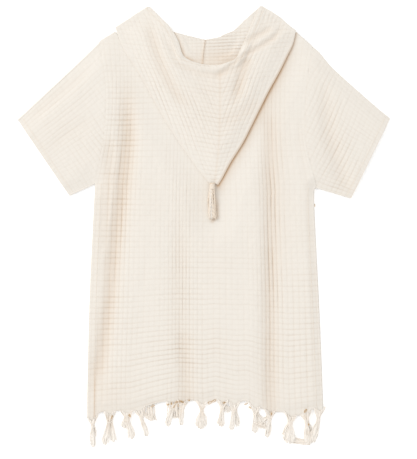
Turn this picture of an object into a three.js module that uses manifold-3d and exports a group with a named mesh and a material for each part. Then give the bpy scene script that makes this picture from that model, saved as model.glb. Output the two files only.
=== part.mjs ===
// Hooded bath poncho for a child, cut from crinkled four-layer cotton gauze. It lies on a table
// with its front underneath and its back on top. The hood has fallen over the back.
// Millimetres. X runs across from the centre line, Y from the hem up to the hood, Z up.

import * as THREE from "three";
import { mergeVertices } from "three/addons/utils/BufferGeometryUtils.js";
import Module from "manifold-3d";

const wasm = await Module();
wasm.setup();

// ---- Driving sizes ----
const WALL = 1.6; // the four gauze layers, pressed together
const SEAM = 0.3; // between two pieces that are sewn together or lie on each other
const FOLD_IN = 3.2; // how far a wall runs in from a folded edge before it lies level
const LOFT = 3; // how far the back stands off the front between two folds
const EDGE_SOFT = 24; // the back settles on the front over this width along a closed edge
const NECK_HALF = 145;
const NECK_Y = 608; // height of the neck corners above the hem line
const NECK_DEPTH_FRONT = 91;
const NECK_DEPTH_BACK = 65;
const NECK_ROUND = 2.2; // exponent of the neck's curve: 2 is a parabola, more is a squarer scoop
const UNDERARM_R = 0.615; // where the underarm lies between hem and shoulder
const HOOD_REST = 30; // the crown sinks from the back onto the throat over this width
const HOOD_REST_FROM = 12;
const RIM_ROLL = 2.6; // how much the rolled rim of the hood stands up
const RIM_ROLL_SHARE = 0.16; // its width as a share of the crown's row
const STRIP_WIDTH = 3; // the knotted root of a fringe
const CLOTH = { color: 0xf2e9df, roughness: 0.92, metalness: 0 };
const YARN = { color: 0xe9dac4, roughness: 0.95, metalness: 0 };

const table = (columns, ...rows) =>
  rows.map((row) => Object.fromEntries(columns.map((name, i) => [name, row[i]])));

// ---- Outlines of the body and sleeves, each side as it lies ----
const SIDE = {
  left: table(["x", "y"], [-189.6, -4], [-188.2, 51], [-184, 190], [-177, 364.8]),
  right: table(["x", "y"], [189.6, 6.4], [184, 150], [174.2, 331], [177.1, 358.4]),
};
const ARMHOLE = {
  left: table(["x", "y"], [-177, 364.8], [-162.4, 435], [-158, 515], [-168.8, 593.6]),
  right: table(["x", "y"], [177.1, 358.4], [159.2, 435], [159.5, 515], [170.4, 585.6]),
};
const OVERARM = {
  left: table(["x", "y"], [-168.8, 593.6], [-199.8, 563.2], [-301.1, 468.5]),
  right: table(
    ["x", "y"],
    [170.4, 585.6], [182.4, 576], [207.2, 547.5], [273.4, 488.6], [295.8, 470.4],
  ),
};
const UNDERARM = {
  left: table(["x", "y"], [-177, 364.8], [-217.8, 346.1]),
  right: table(["x", "y"], [177.1, 358.4], [233.1, 341.8]),
};
const HEM = table(
  ["x", "y"],
  [-189.6, -4], [-148, 1], [-120, 2], [-84, 11], [-44, 19], [-2, 16],
  [16, 21], [50, 14], [66, 16], [92, 4], [134, -2], [189.6, 6.4],
);

// ---- Half hoods ----
// Each row runs from the folded outer edge to the rim (rows 0 to 6) or the crown seam (6 to 12).
// Row 3 meets the neck corner: before it the wall turns under into the throat, after it into the nape.
const ROW_NECK = 3;
const ROW_FOREHEAD = 6;
const CROWN = {
  left: table(
    ["edgeX", "edgeY", "inX", "inY"],
    [-95.2, 646.4, -88.8, 644], [-111.7, 637.8, -72.8, 629.6], [-128.8, 625.6, -56.8, 612.8],
    [-144.8, 613, -44.8, 593.6], [-132, 582.4, -34.4, 567.2], [-117.6, 558.4, -5.6, 555.2],
    [-101.6, 532.8, 23.2, 553.6], [-80.8, 494.4, 23.2, 518.4], [-58.4, 456, 23.2, 483.2],
    [-34.4, 419.2, 22.4, 446.4], [-10.4, 385.6, 20, 409.6], [3, 369.6, 16.8, 384],
    [8.4, 363.2, 14.4, 366.4],
  ),
  right: table(
    ["edgeX", "edgeY", "inX", "inY"],
    [94.4, 646.4, 85.6, 643.2], [117.3, 633.6, 78.4, 628.8], [131, 620.8, 71.2, 611.2],
    [144.8, 611, 64, 594.6], [140, 588.8, 56, 577.6], [131, 569.6, 47.2, 563.2],
    [119.2, 545.6, 23.2, 553.6], [100, 510.4, 23.2, 518.4], [80.8, 472, 23.2, 483.2],
    [60.8, 432, 22.4, 446.4], [40.8, 400, 20, 409.6], [28, 376, 16.8, 384],
    [20.4, 363.2, 14.4, 366.4],
  ),
};
const THROAT_RIM = {
  left: table(["x", "y"], [-88.8, 644], [-55.2, 612], [-37.6, 597.5], [-20, 594.4], [0, 595.2]),
  right: table(
    ["x", "y"],
    [85.6, 643.2], [63.2, 627.2], [55.2, 619.2], [44, 609.6], [29.6, 603.7], [16.8, 596.3],
    [0, 595.2],
  ),
};
const ROW_THROAT_TOP = 2;

// ---- Folds: soft valleys along a line, each with its depth as a share of the loft ----
const BODY_FOLDS = [
  { // from below the left shoulder to the hem
    half: 13, depth: 0.95,
    line: table(
      ["x", "y"],
      [-132, 550], [-129, 435], [-142, 328], [-145, 275], [-156, 179], [-169, 99], [-177, 56],
    ),
  },
  { half: 14, depth: 0.6, line: table(["x", "y"], [-46, 330], [-45, 206], [-36, 99], [-30, 10]) },
  {
    half: 12, depth: 0.95,
    line: table(["x", "y"], [98, 470], [108, 328], [106, 232], [100, 126], [103, 0]),
  },
  {
    half: 7, depth: 0.5,
    line: table(["x", "y"], [146, 483], [154, 414], [162, 360], [167, 286], [175, 179]),
  },
  { half: 16, depth: 0.85, line: table(["x", "y"], [183, 526], [194, 446], [210, 392], [226, 345]) },
  { half: 9, depth: 0.5, line: table(["x", "y"], [-285, 460], [-235, 500], [-190, 535]) },
  { half: 10, depth: 0.4, line: table(["x", "y"], [-255, 415], [-215, 450], [-180, 470]) },
];
const HOOD_LOFT = 3;
const HOOD_FOLDS = [
  {
    half: 11, depth: 1,
    line: table(["x", "y"], [-98, 640], [-73, 558], [-52, 504], [-30, 478], [12, 470]),
  },
  { half: 9, depth: 0.8, line: table(["x", "y"], [60, 560], [54, 530], [47, 499]) },
  { half: 8, depth: 0.9, line: table(["x", "y"], [126, 624], [119, 600], [76, 568], [44, 547]) },
  { half: 12, depth: 0.5, line: table(["x", "y"], [90, 500], [60, 478], [30, 462]) },
];

// ---- Fringe: each tassel of the upper row, and where the one below it strays ----
const TASSELS = table(
  ["rootX", "tipX", "tipY", "neck", "flare", "underX", "underY", "underFlare"],
  [-181, -180.2, -57.6, 5, 6, -178, -42, 6],
  [-153, -161.5, -53.6, 7, 10, -147.7, -49.6, 9],
  [-126.6, -118.4, -44.8, 8, 9, -129.6, -28, 9],
  [-105.3, -94.7, -40.3, 7, 6, -87, -15.2, 18],
  [-51, -60, -24.5, 8, 7, -47, -15, 13],
  [-37, -38.2, -22.4, 7, 6, -38, -18, 6],
  [-5.8, -5.8, -28.5, 6, 18, -5, -22, 12],
  [27, 24.6, -24.6, 6, 9, 36, -2, 12],
  [46, 42.2, -30, 7, 6, 51.8, -24.6, 8],
  [79, 79.4, -35.2, 6, 7, 92, -26, 9],
  [104, 98.7, -42.6, 7, 8, 90, -24, 7],
  [135.8, 132, -52, 7, 22, 126, -42, 12],
  [160.6, 166, -54.4, 6, 10, 152, -46, 12],
  [183, 173, -50, 6, 9, 176, -44, 8],
);
const LOCK_PITCH = 3.2; // one lock to this much of a tassel's spread
const LOCK_WIDTH = 1.7;
const LOWER_TIP_Z = 1.6; // heights of the tips' middles, one row on the other
const UPPER_TIP_Z = 4.7;
const UPPER_STRIP_Z = 2.2;

// ---- Hood tassel, lying below the tip ----
const TIP_TASSEL = {
  x: 13.2, top: 364.4, head: 7, headWidth: 13, headHeight: 8,
  length: 57, spread: 18, lean: 3, strands: 18, strandWidth: 2.4,
};

// ---- Small helpers ----
const { lerp, smoothstep, clamp } = THREE.MathUtils;
const flat = (p) => new THREE.Vector2(p.x, p.y);
const spline = (rows) => new THREE.SplineCurve(rows.map(flat));
const polyline = (rows) => {
  const path = new THREE.CurvePath();
  rows.slice(1).forEach((p, i) => path.add(new THREE.LineCurve(flat(rows[i]), flat(p))));
  return path;
};
const steps = (n) => Array.from({ length: n + 1 }, (_, i) => i / n);

// Distance from a point to a chain of straight lines, and how far along the chain it lies, 0 to 1.
function toChain(x, y, rows) {
  let best = { d: Infinity, t: 0 };
  rows.slice(1).forEach((b, i) => {
    const a = rows[i];
    const dx = b.x - a.x, dy = b.y - a.y;
    const k = clamp(((x - a.x) * dx + (y - a.y) * dy) / (dx * dx + dy * dy), 0, 1);
    const d = Math.hypot(x - a.x - k * dx, y - a.y - k * dy);
    if (d < best.d) best = { d, t: (i + k) / (rows.length - 1) };
  });
  return best;
}

// How deep the folds of a list reach at a point, 0 to 1. A fold fades out at its two ends.
function foldDepth(x, y, folds) {
  let depth = 0;
  for (const fold of folds) {
    const { d, t } = toChain(x, y, fold.line);
    const ends = smoothstep(t, -0.01, 0.2) * (1 - 0.6 * smoothstep(t, 0.85, 1.01));
    depth = Math.max(depth, fold.depth * ends * Math.exp(-((d / fold.half) ** 2)));
  }
  return depth;
}

const neckY = (x, depth) =>
  NECK_Y - depth * (1 - Math.min(1, Math.abs(x) / NECK_HALF) ** NECK_ROUND);

// ---- Heights ----
const CLOSED_EDGES = ["left", "right"].flatMap((side) =>
  [SIDE[side], OVERARM[side], UNDERARM[side]]);
const HOOD_AREA = [...CROWN.left.map((r) => ({ x: r.edgeX, y: r.edgeY })),
  { x: TIP_TASSEL.x, y: TIP_TASSEL.top - TIP_TASSEL.length },
  ...CROWN.right.map((r) => ({ x: r.edgeX, y: r.edgeY })).reverse()];

function insideHood(x, y) {
  let inside = false;
  HOOD_AREA.forEach((b, i) => {
    const a = HOOD_AREA[(i + HOOD_AREA.length - 1) % HOOD_AREA.length];
    if (a.y > y !== b.y > y && x < ((b.x - a.x) * (y - a.y)) / (b.y - a.y) + a.x) inside = !inside;
  });
  return inside;
}

// The hood's weight presses the back flat under it and for a little way round it.
function pressed(x, y) {
  if (insideHood(x, y)) return 1;
  return 1 - smoothstep(toChain(x, y, HOOD_AREA).d, 14, 34);
}

// Underside of the upper layer of body and sleeves.
const PRESSED_GAP = 0.5;
function upperBottom(x, y) {
  const edge = Math.min(...CLOSED_EDGES.map((rows) => toChain(x, y, rows).d));
  const loft = LOFT * smoothstep(edge, 0, EDGE_SOFT) * (1 - foldDepth(x, y, BODY_FOLDS));
  return WALL + lerp(SEAM + loft, PRESSED_GAP, pressed(x, y));
}

const NAPE_BOTTOM = 2 * WALL + PRESSED_GAP + SEAM;
const CROWN_ON_NAPE = NAPE_BOTTOM + WALL + SEAM;
const CROWN_ON_THROAT = WALL + SEAM;
// Underside of the crown: level over the nape, and sinking beyond the back neck.
function crownBottom(x, y, edgeShare, rimShare) {
  const past = y - neckY(x, NECK_DEPTH_BACK);
  const sunk = smoothstep(past, HOOD_REST_FROM, HOOD_REST_FROM + HOOD_REST);
  const puff = HOOD_LOFT * smoothstep(edgeShare, 0, 0.3) * (1 - foldDepth(x, y, HOOD_FOLDS));
  const rest = lerp(CROWN_ON_NAPE, CROWN_ON_THROAT, sunk);
  return rest + Math.max(puff * (1 - 0.3 * sunk), rimShare * RIM_ROLL);
}

// ---- Cloth ----
// A wall of cloth on any patchwork of quads. A node has its two faces' points, out and in, and a
// quad lists four nodes, counter-clockwise seen from outside. Free edges are closed by a side wall.
function clothGeometry(nodes, quads) {
  const positions = nodes.flatMap((n) => [...n.out.toArray(), ...n.in.toArray()]);
  const index = [];
  const quadFaces = (a, b, c, d) => index.push(a, b, c, a, c, d);
  const edges = new Map();
  for (const quad of quads) {
    quadFaces(...quad.map((n) => 2 * n));
    quadFaces(...quad.map((n) => 2 * n + 1).reverse());
    quad.forEach((a, i) => edges.set(`${a},${quad[(i + 1) % 4]}`, [a, quad[(i + 1) % 4]]));
  }
  for (const [a, b] of edges.values())
    if (!edges.has(`${b},${a}`)) quadFaces(2 * b, 2 * a, 2 * a + 1, 2 * b + 1);
  const geometry = new THREE.BufferGeometry();
  geometry.setAttribute("position", new THREE.Float32BufferAttribute(positions, 3));
  geometry.setIndex(index);
  return geometry;
}

// Points of a grid bounded by four curves that meet at its corners.
function coons(bottom, top, left, right, c, r) {
  const mix = (a, b, t) => a.clone().lerp(b, t);
  const across = mix(left(r), right(r), c);
  const along = mix(bottom(c), top(c), r);
  const both = mix(mix(bottom(0), bottom(1), c), mix(top(0), top(1), c), r);
  return across.add(along).sub(both);
}

const point = (p, z) => new THREE.Vector3(p.x, p.y, z);
// Cloth seen from its face: the outer point is on top. Seen from its back: the outer point is below.
const faceUp = (p, z) => ({ out: point(p, z + WALL), in: point(p, z) });
const faceDown = (p, z) => ({ out: point(p, z), in: point(p, z + WALL) });

function gridQuads(columns, rows, at, turned = false) {
  const quads = [];
  for (let r = 0; r < rows; r++)
    for (let c = 0; c < columns; c++) {
      const quad = [at(c, r), at(c + 1, r), at(c + 1, r + 1), at(c, r + 1)];
      quads.push(turned ? quad.reverse() : quad);
    }
  return quads;
}

const group = new THREE.Group();
function add(name, geometry, finish) {
  const mesh = new THREE.Mesh(geometry, new THREE.MeshStandardMaterial(finish));
  mesh.name = name;
  group.add(mesh);
}

// ---- Body: front and back panel ----
function sideEdge(side, inward) {
  const low = spline(SIDE[side]), high = spline(ARMHOLE[side]);
  return (r) => {
    const p = r <= UNDERARM_R
      ? low.getPointAt(r / UNDERARM_R)
      : high.getPointAt((r - UNDERARM_R) / (1 - UNDERARM_R));
    p.x += inward;
    return p;
  };
}

function shoulderEdge(depth, drop) {
  const left = ARMHOLE.left.at(-1), right = ARMHOLE.right.at(-1);
  return (c) => {
    const x = lerp(left.x + SEAM / 2, right.x - SEAM / 2, c);
    const corner = x < 0 ? left : right;
    const share = clamp((Math.abs(x) - NECK_HALF) / (Math.abs(corner.x) - NECK_HALF), 0, 1);
    const y = Math.abs(x) < NECK_HALF ? neckY(x, depth) : lerp(NECK_Y, corner.y, share);
    return new THREE.Vector2(x, y - drop);
  };
}

// Grid lines with the underarm on one of them.
const bodyRows = (below, above) => [
  ...steps(below).map((t) => t * UNDERARM_R),
  ...steps(above).slice(1).map((t) => lerp(UNDERARM_R, 1, t)),
];

const hemPoints = (columns) => {
  const hem = spline(HEM);
  return steps(columns).map((t) => hem.getPointAt(t));
};

function bodyPanel({ columns, below, above, depth, drop, hemRise, node }) {
  const hem = spline(HEM);
  const hemEdge = (c) => hem.getPointAt(c).add(new THREE.Vector2(lerp(SEAM, -SEAM, c) / 2, hemRise));
  const left = sideEdge("left", SEAM / 2), right = sideEdge("right", -SEAM / 2);
  const lifted = (curve) => (r) => curve(r).add(new THREE.Vector2(0, lerp(hemRise, -drop, r)));
  const rows = bodyRows(below, above);
  const nodes = rows.flatMap((r) => steps(columns).map((c) =>
    node(coons(hemEdge, shoulderEdge(depth, drop), lifted(left), lifted(right), c, r))));
  return { nodes, at: (c, r) => r * (columns + 1) + c, rows: rows.length - 1 };
}

const ARMHOLE_STEPS = 9; // body and sleeve share these points along their seam
const FRONT = {
  columns: 15, below: 4, above: ARMHOLE_STEPS, depth: NECK_DEPTH_FRONT, drop: 0.5, hemRise: 1,
};
const BACK = {
  columns: 30, below: 13, above: ARMHOLE_STEPS, depth: NECK_DEPTH_BACK, drop: 0, hemRise: 0,
};

function frontPanel() {
  const { nodes, at, rows } = bodyPanel({ ...FRONT, node: (p) => faceDown(p, 0) });
  add("front_panel", clothGeometry(nodes, gridQuads(FRONT.columns, rows, at, true)), CLOTH);
}

function backPanel() {
  const { nodes, at, rows } = bodyPanel({ ...BACK, node: (p) => faceUp(p, upperBottom(p.x, p.y)) });
  add("back_panel", clothGeometry(nodes, gridQuads(BACK.columns, rows, at)), CLOTH);
}

// ---- Sleeves: one piece each, folded along the overarm and seamed under the arm ----
const SLEEVE = { length: 11 };
function sleeve(side) {
  const out = side === "left" ? -1 : 1;
  const armhole = spline(ARMHOLE[side]), overarm = spline(OVERARM[side]);
  const under = polyline(UNDERARM[side]);
  const cuff = polyline([UNDERARM[side].at(-1), OVERARM[side].at(-1)]);
  const shift = (p) => p.add(new THREE.Vector2(out * SEAM / 2, 0));
  const place = (s, u) =>
    shift(coons((t) => armhole.getPointAt(t), (t) => cuff.getPointAt(t),
      (t) => under.getPointAt(t), (t) => overarm.getPointAt(t), u, s));
  const nodes = [];
  for (const s of steps(SLEEVE.length)) {
    const edge = place(s, 1), inner = place(s, 0);
    const inward = inner.clone().sub(edge).normalize();
    const level = 1 - FOLD_IN / edge.distanceTo(inner);
    const across = steps(ARMHOLE_STEPS).map((u) => place(s, Math.min(u, level)));
    const lower = across.map((p) => faceDown(p, 0));
    const upper = across.map((p) => faceUp(p, upperBottom(p.x, p.y)));
    const middle = WALL + SEAM / 2;
    const inside = edge.clone().addScaledVector(inward, WALL);
    const fold = { out: point(edge, middle), in: point(inside, middle) };
    nodes.push(...lower, fold, ...upper.reverse());
  }
  const width = 2 * (ARMHOLE_STEPS + 1) + 1;
  const quads = gridQuads(width - 1, SLEEVE.length, (c, r) => r * width + c, side === "left");
  add(`sleeve_${side}`, clothGeometry(nodes, quads), CLOTH);
}

// ---- Hood: two halves, each one wall that folds along its outer edge ----
const HOOD_GRID = { perRow: 2, crown: 9, throat: 6, nape: 6 };
const NAPE_TOP = { x: 4, y: NECK_Y - NECK_DEPTH_BACK };

function hoodHalf(side) {
  const sign = side === "left" ? -1 : 1;
  const rows = CROWN[side];
  const last = rows.length - 1;
  const throatRim = spline(THROAT_RIM[side]);
  const seamGap = sign * SEAM / 2;
  const rowAt = (v, x, y) => {
    const i = Math.min(last - 1, Math.floor(v)), k = v - i;
    return new THREE.Vector2(lerp(rows[i][x], rows[i + 1][x], k), lerp(rows[i][y], rows[i + 1][y], k));
  };
  const edgeAt = (v) => rowAt(v, "edgeX", "edgeY");
  const apart = (share) => new THREE.Vector2(seamGap * share, 0);
  const crownIn = (v) => rowAt(v, "inX", "inY").add(apart(smoothstep(v, 5, ROW_FOREHEAD)));
  const neckCentre = (depth) => new THREE.Vector2(0, NECK_Y - depth);
  const throatIn = (v) =>
    (v <= ROW_THROAT_TOP
      ? throatRim.getPointAt(v / ROW_THROAT_TOP)
      : flat(THROAT_RIM[side].at(-1)).lerp(neckCentre(NECK_DEPTH_FRONT), v - ROW_THROAT_TOP)
    ).add(apart(smoothstep(v, 1.5, ROW_THROAT_TOP)));
  const napeIn = (v) => {
    const k = (v - ROW_NECK) / (last - ROW_NECK);
    return flat(NAPE_TOP).lerp(rowAt(last, "inX", "inY"), k).add(apart(1));
  };
  // A row of points from the outer edge in, bent by a share of the neck's curve.
  const rowPoint = (from, to, u, depth, bend) => {
    const p = from.clone().lerp(to, u);
    const curve = neckY(lerp(sign * NECK_HALF, to.x, u), depth) - lerp(NECK_Y, to.y, u);
    p.y += bend * curve * smoothstep(u, 0, 0.1);
    return p;
  };
  const level = (from, to, count, depth, bend) => {
    const start = FOLD_IN / from.distanceTo(to);
    return steps(count).map((t) => rowPoint(from, to, lerp(Math.min(start, 0.5), 1, t), depth, bend));
  };

  const nodes = [];
  const push = (node) => nodes.push(node) - 1;
  const stops = steps(last * HOOD_GRID.perRow).map((t) => t * last);
  const neckStop = ROW_NECK * HOOD_GRID.perRow;
  const crown = stops.map((v) => {
    const from = edgeAt(v), to = crownIn(v);
    const atRim = 1 - smoothstep(v, ROW_FOREHEAD, ROW_FOREHEAD + 0.6);
    return level(from, to, HOOD_GRID.crown, 0, 0).map((p, i) => {
      const u = i / HOOD_GRID.crown;
      const rim = atRim * smoothstep(u, 1 - 2 * RIM_ROLL_SHARE, 1 - RIM_ROLL_SHARE / 2);
      return push(faceUp(p, crownBottom(p.x, p.y, u, rim)));
    });
  });
  const turned = (v, i, low) => {
    const from = edgeAt(v), to = crownIn(v);
    const inward = to.sub(from).normalize();
    const z = (low + WALL + nodes[crown[i][0]].in.z) / 2;
    return push({ out: point(from, z), in: point(from.clone().addScaledVector(inward, WALL), z) });
  };
  const under = (first, final, count, inner, low, depth, bend) => {
    const lines = [];
    for (let i = first; i <= final; i++) {
      const v = stops[i];
      const line = level(edgeAt(v), inner(v), count, depth, bend(v)).map((p) => push(faceDown(p, low)));
      lines.push([...line.reverse(), turned(v, i, low), ...crown[i]]);
    }
    return lines;
  };
  const throat = under(0, neckStop, HOOD_GRID.throat, throatIn, 0, NECK_DEPTH_FRONT,
    (v) => smoothstep(v, ROW_THROAT_TOP, ROW_NECK));
  const nape = under(neckStop, stops.length - 1, HOOD_GRID.nape, napeIn, NAPE_BOTTOM, NECK_DEPTH_BACK,
    (v) => 1 - smoothstep(v, ROW_NECK, ROW_NECK + 3));
  const quads = [throat, nape].flatMap((lines) =>
    gridQuads(lines[0].length - 1, lines.length - 1, (c, r) => lines[r][c], side === "left"));
  add(`hood_${side}`, clothGeometry(nodes, quads), CLOTH);
}

// ---- Fringe and tassel: every lock or strand is fused to its backing ----
function solid(geometry) {
  const bare = geometry.clone();
  bare.deleteAttribute("normal");
  bare.deleteAttribute("uv");
  const merged = mergeVertices(bare, 1e-4);
  return new wasm.Manifold(new wasm.Mesh({
    numProp: 3,
    vertProperties: merged.attributes.position.array,
    triVerts: new Uint32Array(merged.index.array),
  }));
}

function fused(parts) {
  const mesh = wasm.Manifold.union(parts).getMesh();
  const geometry = new THREE.BufferGeometry();
  geometry.setAttribute("position", new THREE.BufferAttribute(new Float32Array(mesh.vertProperties), 3));
  geometry.setIndex([...mesh.triVerts]);
  return geometry;
}

// A lock: three-sided, along points with a width each.
function lock(points, widths) {
  const sides = 3;
  const positions = points.flatMap((p, i) => {
    const ahead = (points[i + 1] ?? p).clone().sub(points[i - 1] ?? p).normalize();
    const across = new THREE.Vector3(0, 0, 1).cross(ahead).normalize();
    const up = ahead.clone().cross(across);
    return steps(sides).slice(0, sides).flatMap((t) => {
      const a = 2 * Math.PI * (t + 1 / 12);
      return p.clone().addScaledVector(across, Math.cos(a) * widths[i] / 2)
        .addScaledVector(up, Math.sin(a) * widths[i] / 2).toArray();
    });
  });
  const at = (i, k) => i * sides + (k % sides);
  const index = [];
  for (let i = 0; i < points.length - 1; i++)
    for (let k = 0; k < sides; k++)
      index.push(at(i, k), at(i, k + 1), at(i + 1, k + 1), at(i, k), at(i + 1, k + 1), at(i + 1, k));
  const end = points.length - 1;
  index.push(at(0, 2), at(0, 1), at(0, 0), at(end, 0), at(end, 1), at(end, 2));
  const geometry = new THREE.BufferGeometry();
  geometry.setAttribute("position", new THREE.Float32BufferAttribute(positions, 3));
  geometry.setIndex(index);
  return geometry;
}

// The strip below a panel's hem has the panel's own points along it. z gives its underside's height.
function strip(hem, z, rise) {
  const nodes = hem.flatMap((p) => {
    const edge = p.y + rise - SEAM - 0.2;
    return [edge - STRIP_WIDTH, edge].map((y) => faceUp({ x: p.x, y }, z(p.x, p.y)));
  });
  return clothGeometry(nodes, gridQuads(1, hem.length - 1, (c, r) => 2 * r + c, true));
}

function heightOn(hem, x) {
  const i = clamp(hem.findIndex((p) => p.x > x), 1, hem.length - 1);
  const a = hem[i - 1], b = hem[i];
  return lerp(a.y, b.y, (x - a.x) / (b.x - a.x));
}

function fringe(name, { columns, hemRise }, most, z, tipZ, tipOf) {
  const hem = hemPoints(columns);
  const parts = [solid(strip(hem, z, hemRise))];
  for (const tassel of TASSELS) {
    const tip = tipOf(tassel);
    const count = clamp(Math.round(Math.max(tip.flare, tassel.neck) / LOCK_PITCH) + 1, 2, most);
    for (let i = 0; i < count; i++) {
      const k = i / (count - 1) - 0.5;
      const neckSpread = Math.max(tassel.neck, count * (LOCK_WIDTH + 0.3));
      const stray = 2.5 * Math.sin(5.1 * i + tassel.rootX);
      const rootX = tassel.rootX + k * (neckSpread + 4);
      const rootY = heightOn(hem, rootX) + hemRise - SEAM - STRIP_WIDTH / 2;
      const root = new THREE.Vector3(rootX, rootY, z(rootX, rootY) + WALL / 2);
      const endX = tip.x + k * Math.max(tip.flare, neckSpread);
      const end = new THREE.Vector3(endX, tip.y + Math.abs(stray), tipZ);
      const neck = root.clone().lerp(end, 0.36);
      neck.x = lerp(tassel.rootX, tip.x, 0.3) + k * neckSpread;
      neck.z = lerp(root.z, end.z, 0.6);
      parts.push(solid(lock([root, neck, end], [LOCK_WIDTH * 0.9, LOCK_WIDTH, LOCK_WIDTH * 1.15])));
    }
  }
  add(name, fused(parts), YARN);
}

function hoodTassel() {
  const t = TIP_TASSEL;
  const bed = 2 * WALL + PRESSED_GAP + SEAM; // top of the pressed back, and a seam's width
  const head = new THREE.SphereGeometry(0.5, 10, 6);
  head.scale(t.headWidth, t.head, t.headHeight);
  head.translate(t.x, t.top - t.head / 2, bed + t.headHeight / 2);
  const parts = [solid(head)];
  for (let i = 0; i < t.strands; i++) {
    const layer = i % 3, k = Math.floor(i / 3) / (t.strands / 3 - 1) - 0.5;
    const z = bed + t.strandWidth * (0.62 + 0.95 * layer);
    const x0 = t.x + k * (t.headWidth - 4);
    const x1 = t.x + k * t.spread * (1 - 0.12 * layer) + t.lean;
    const y0 = t.top - t.head * 0.55;
    const y1 = t.top - t.length + 3 * Math.abs(Math.sin(4.3 * i));
    const points = [
      new THREE.Vector3(x0, y0, bed + t.headHeight * (0.3 + 0.2 * layer)),
      new THREE.Vector3(lerp(x0, x1, 0.5) - 1, lerp(y0, y1, 0.4), z),
      new THREE.Vector3(x1, y1, z),
    ];
    parts.push(solid(lock(points, [t.strandWidth * 0.6, t.strandWidth * 0.8, t.strandWidth * 0.9])));
  }
  add("hood_tassel", fused(parts), YARN);
}

frontPanel();
backPanel();
for (const side of ["left", "right"]) {
  sleeve(side);
  hoodHalf(side);
}
// The lower row of tassels lies on the table, the upper row on the lower one.
fringe("fringe_front", FRONT, 4, () => 0.2, LOWER_TIP_Z,
  (t) => ({ x: t.underX, y: t.underY, flare: t.underFlare }));
fringe("fringe_back", BACK, 6, (x, y) => Math.max(upperBottom(x, y), UPPER_STRIP_Z), UPPER_TIP_Z,
  (t) => ({ x: t.tipX, y: t.tipY, flare: t.flare }));
hoodTassel();

// The origin is the middle of the footprint, on the table.
const box = new THREE.Box3().setFromObject(group);
const middle = box.getCenter(new THREE.Vector3());
group.position.set(-middle.x, -middle.y, -box.min.z);

export default group;
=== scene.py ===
import math

import bpy
import numpy as np
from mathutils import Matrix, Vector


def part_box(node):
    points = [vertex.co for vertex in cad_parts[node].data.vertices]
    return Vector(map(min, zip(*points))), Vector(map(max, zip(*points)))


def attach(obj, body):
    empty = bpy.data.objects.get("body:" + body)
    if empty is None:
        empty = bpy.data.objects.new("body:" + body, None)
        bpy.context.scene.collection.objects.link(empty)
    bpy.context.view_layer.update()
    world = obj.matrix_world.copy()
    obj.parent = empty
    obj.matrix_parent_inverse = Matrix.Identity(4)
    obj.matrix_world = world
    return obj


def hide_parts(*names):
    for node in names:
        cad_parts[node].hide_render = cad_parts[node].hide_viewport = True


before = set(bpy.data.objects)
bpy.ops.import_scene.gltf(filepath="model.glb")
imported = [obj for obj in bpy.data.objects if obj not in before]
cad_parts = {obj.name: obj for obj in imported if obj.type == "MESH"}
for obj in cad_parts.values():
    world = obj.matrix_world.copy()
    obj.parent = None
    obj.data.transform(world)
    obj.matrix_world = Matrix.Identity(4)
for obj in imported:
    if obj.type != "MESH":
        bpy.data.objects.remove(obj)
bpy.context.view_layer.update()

MM = 0.001

# ---- Camera: straight down on the laid poncho ----
PICTURE_HEIGHT = 734.4  # how much of the table the picture's height shows
LENS = 100
SENSOR = 36
CLOTH_LEVEL = 6
OVER = (7.5, -2.4)  # the point of the table below the lens
camera_data = bpy.data.cameras.new("camera")
camera_data.lens = LENS
camera_data.sensor_width = SENSOR
camera = bpy.data.objects.new("camera", camera_data)
camera.location = (OVER[0] * MM, OVER[1] * MM, (PICTURE_HEIGHT * LENS / SENSOR + CLOTH_LEVEL) * MM)
bpy.context.scene.collection.objects.link(camera)
bpy.context.scene.camera = camera

# ---- Driving sizes ----
WALL = 1.6
SEAM = 0.3
LOFT = 3.6  # how far the back stands off the front between two folds
FOLD_DROP = 1.2  # how far a full fold reaches below the pressed cloth's loft
NECK_HALF = 145
NECK_Y = 608
NECK_DEPTH_FRONT = 91
NECK_DEPTH_BACK = 65
NECK_ROUND = 2.2
UNDERARM_R = 0.615
HOOD_REST = 30
HOOD_REST_FROM = 12
HOOD_LOFT = 4.6
HOOD_TURN = 3.4  # radius of the hood's folded outer edge
RIM_WIDTH = 12  # the soft roll along the hood's opening
RIM_HEIGHT = 1.8
RIM_TURN = 2.6
THREAD_PITCH = 0.9
# How much brown the crinkle lines take: painted shade in their grooves
LINE_SHADE_SHARE = 0.25
LINE_DEPTH = 5.4
SHADE_SHARE = 0.2  # how much painted shade, in the deep tan, the lines and folds take
GROOVE_EDGE = 2.6  # more makes the crinkle's hollows narrower
LINE_EDGE = 13  # the same for the tucked line in the middle of a hollow
RIB_PITCH = 8.4  # between two lines of the crinkle, across
WEFT_PITCH = 8.6  # and along the body
RIB_STEPS = 5  # mesh columns in one rib
WEFT_STEPS = 5
RELIEF = {"back": 0.7, "front": 0.5, "sleeve": 0.62, "hood": 0.84, "throat": 1.2}  # how deep lines are

# ---- Outlines ----
SIDE = {
    "left": [(-189.6, -4), (-189, 51), (-185.4, 190), (-177, 364.8)],
    "right": [(188.6, 6.4), (183, 150), (174.2, 331), (177.1, 358.4)],
}
ARMHOLE = {
    "left": [(-177, 364.8), (-162.4, 435), (-158, 515), (-168.8, 593.6)],
    "right": [(177.1, 358.4), (159.2, 435), (159.5, 515), (170.4, 585.6)],
}
OVERARM = {
    "left": [(-168.8, 593.6), (-199.8, 563.2), (-301.1, 468.5)],
    "right": [(170.4, 585.6), (182.4, 576), (207.2, 547.5), (273.4, 488.6), (295.8, 470.4)],
}
UNDERARM = {
    "left": [(-177, 364.8), (-217.8, 346.1)],
    "right": [(177.1, 358.4), (233.1, 341.8)],
}
HEM = [
    (-189.6, -4), (-148, 1), (-120, 2), (-84, 11), (-44, 19), (-2, 16),
    (16, 21), (50, 14), (66, 16), (92, 4), (134, -2), (188.6, 6.4),
]
THROAT_SEAM_TOP = 595.2
THROAT_SEAM_LENGTH = 78
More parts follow.
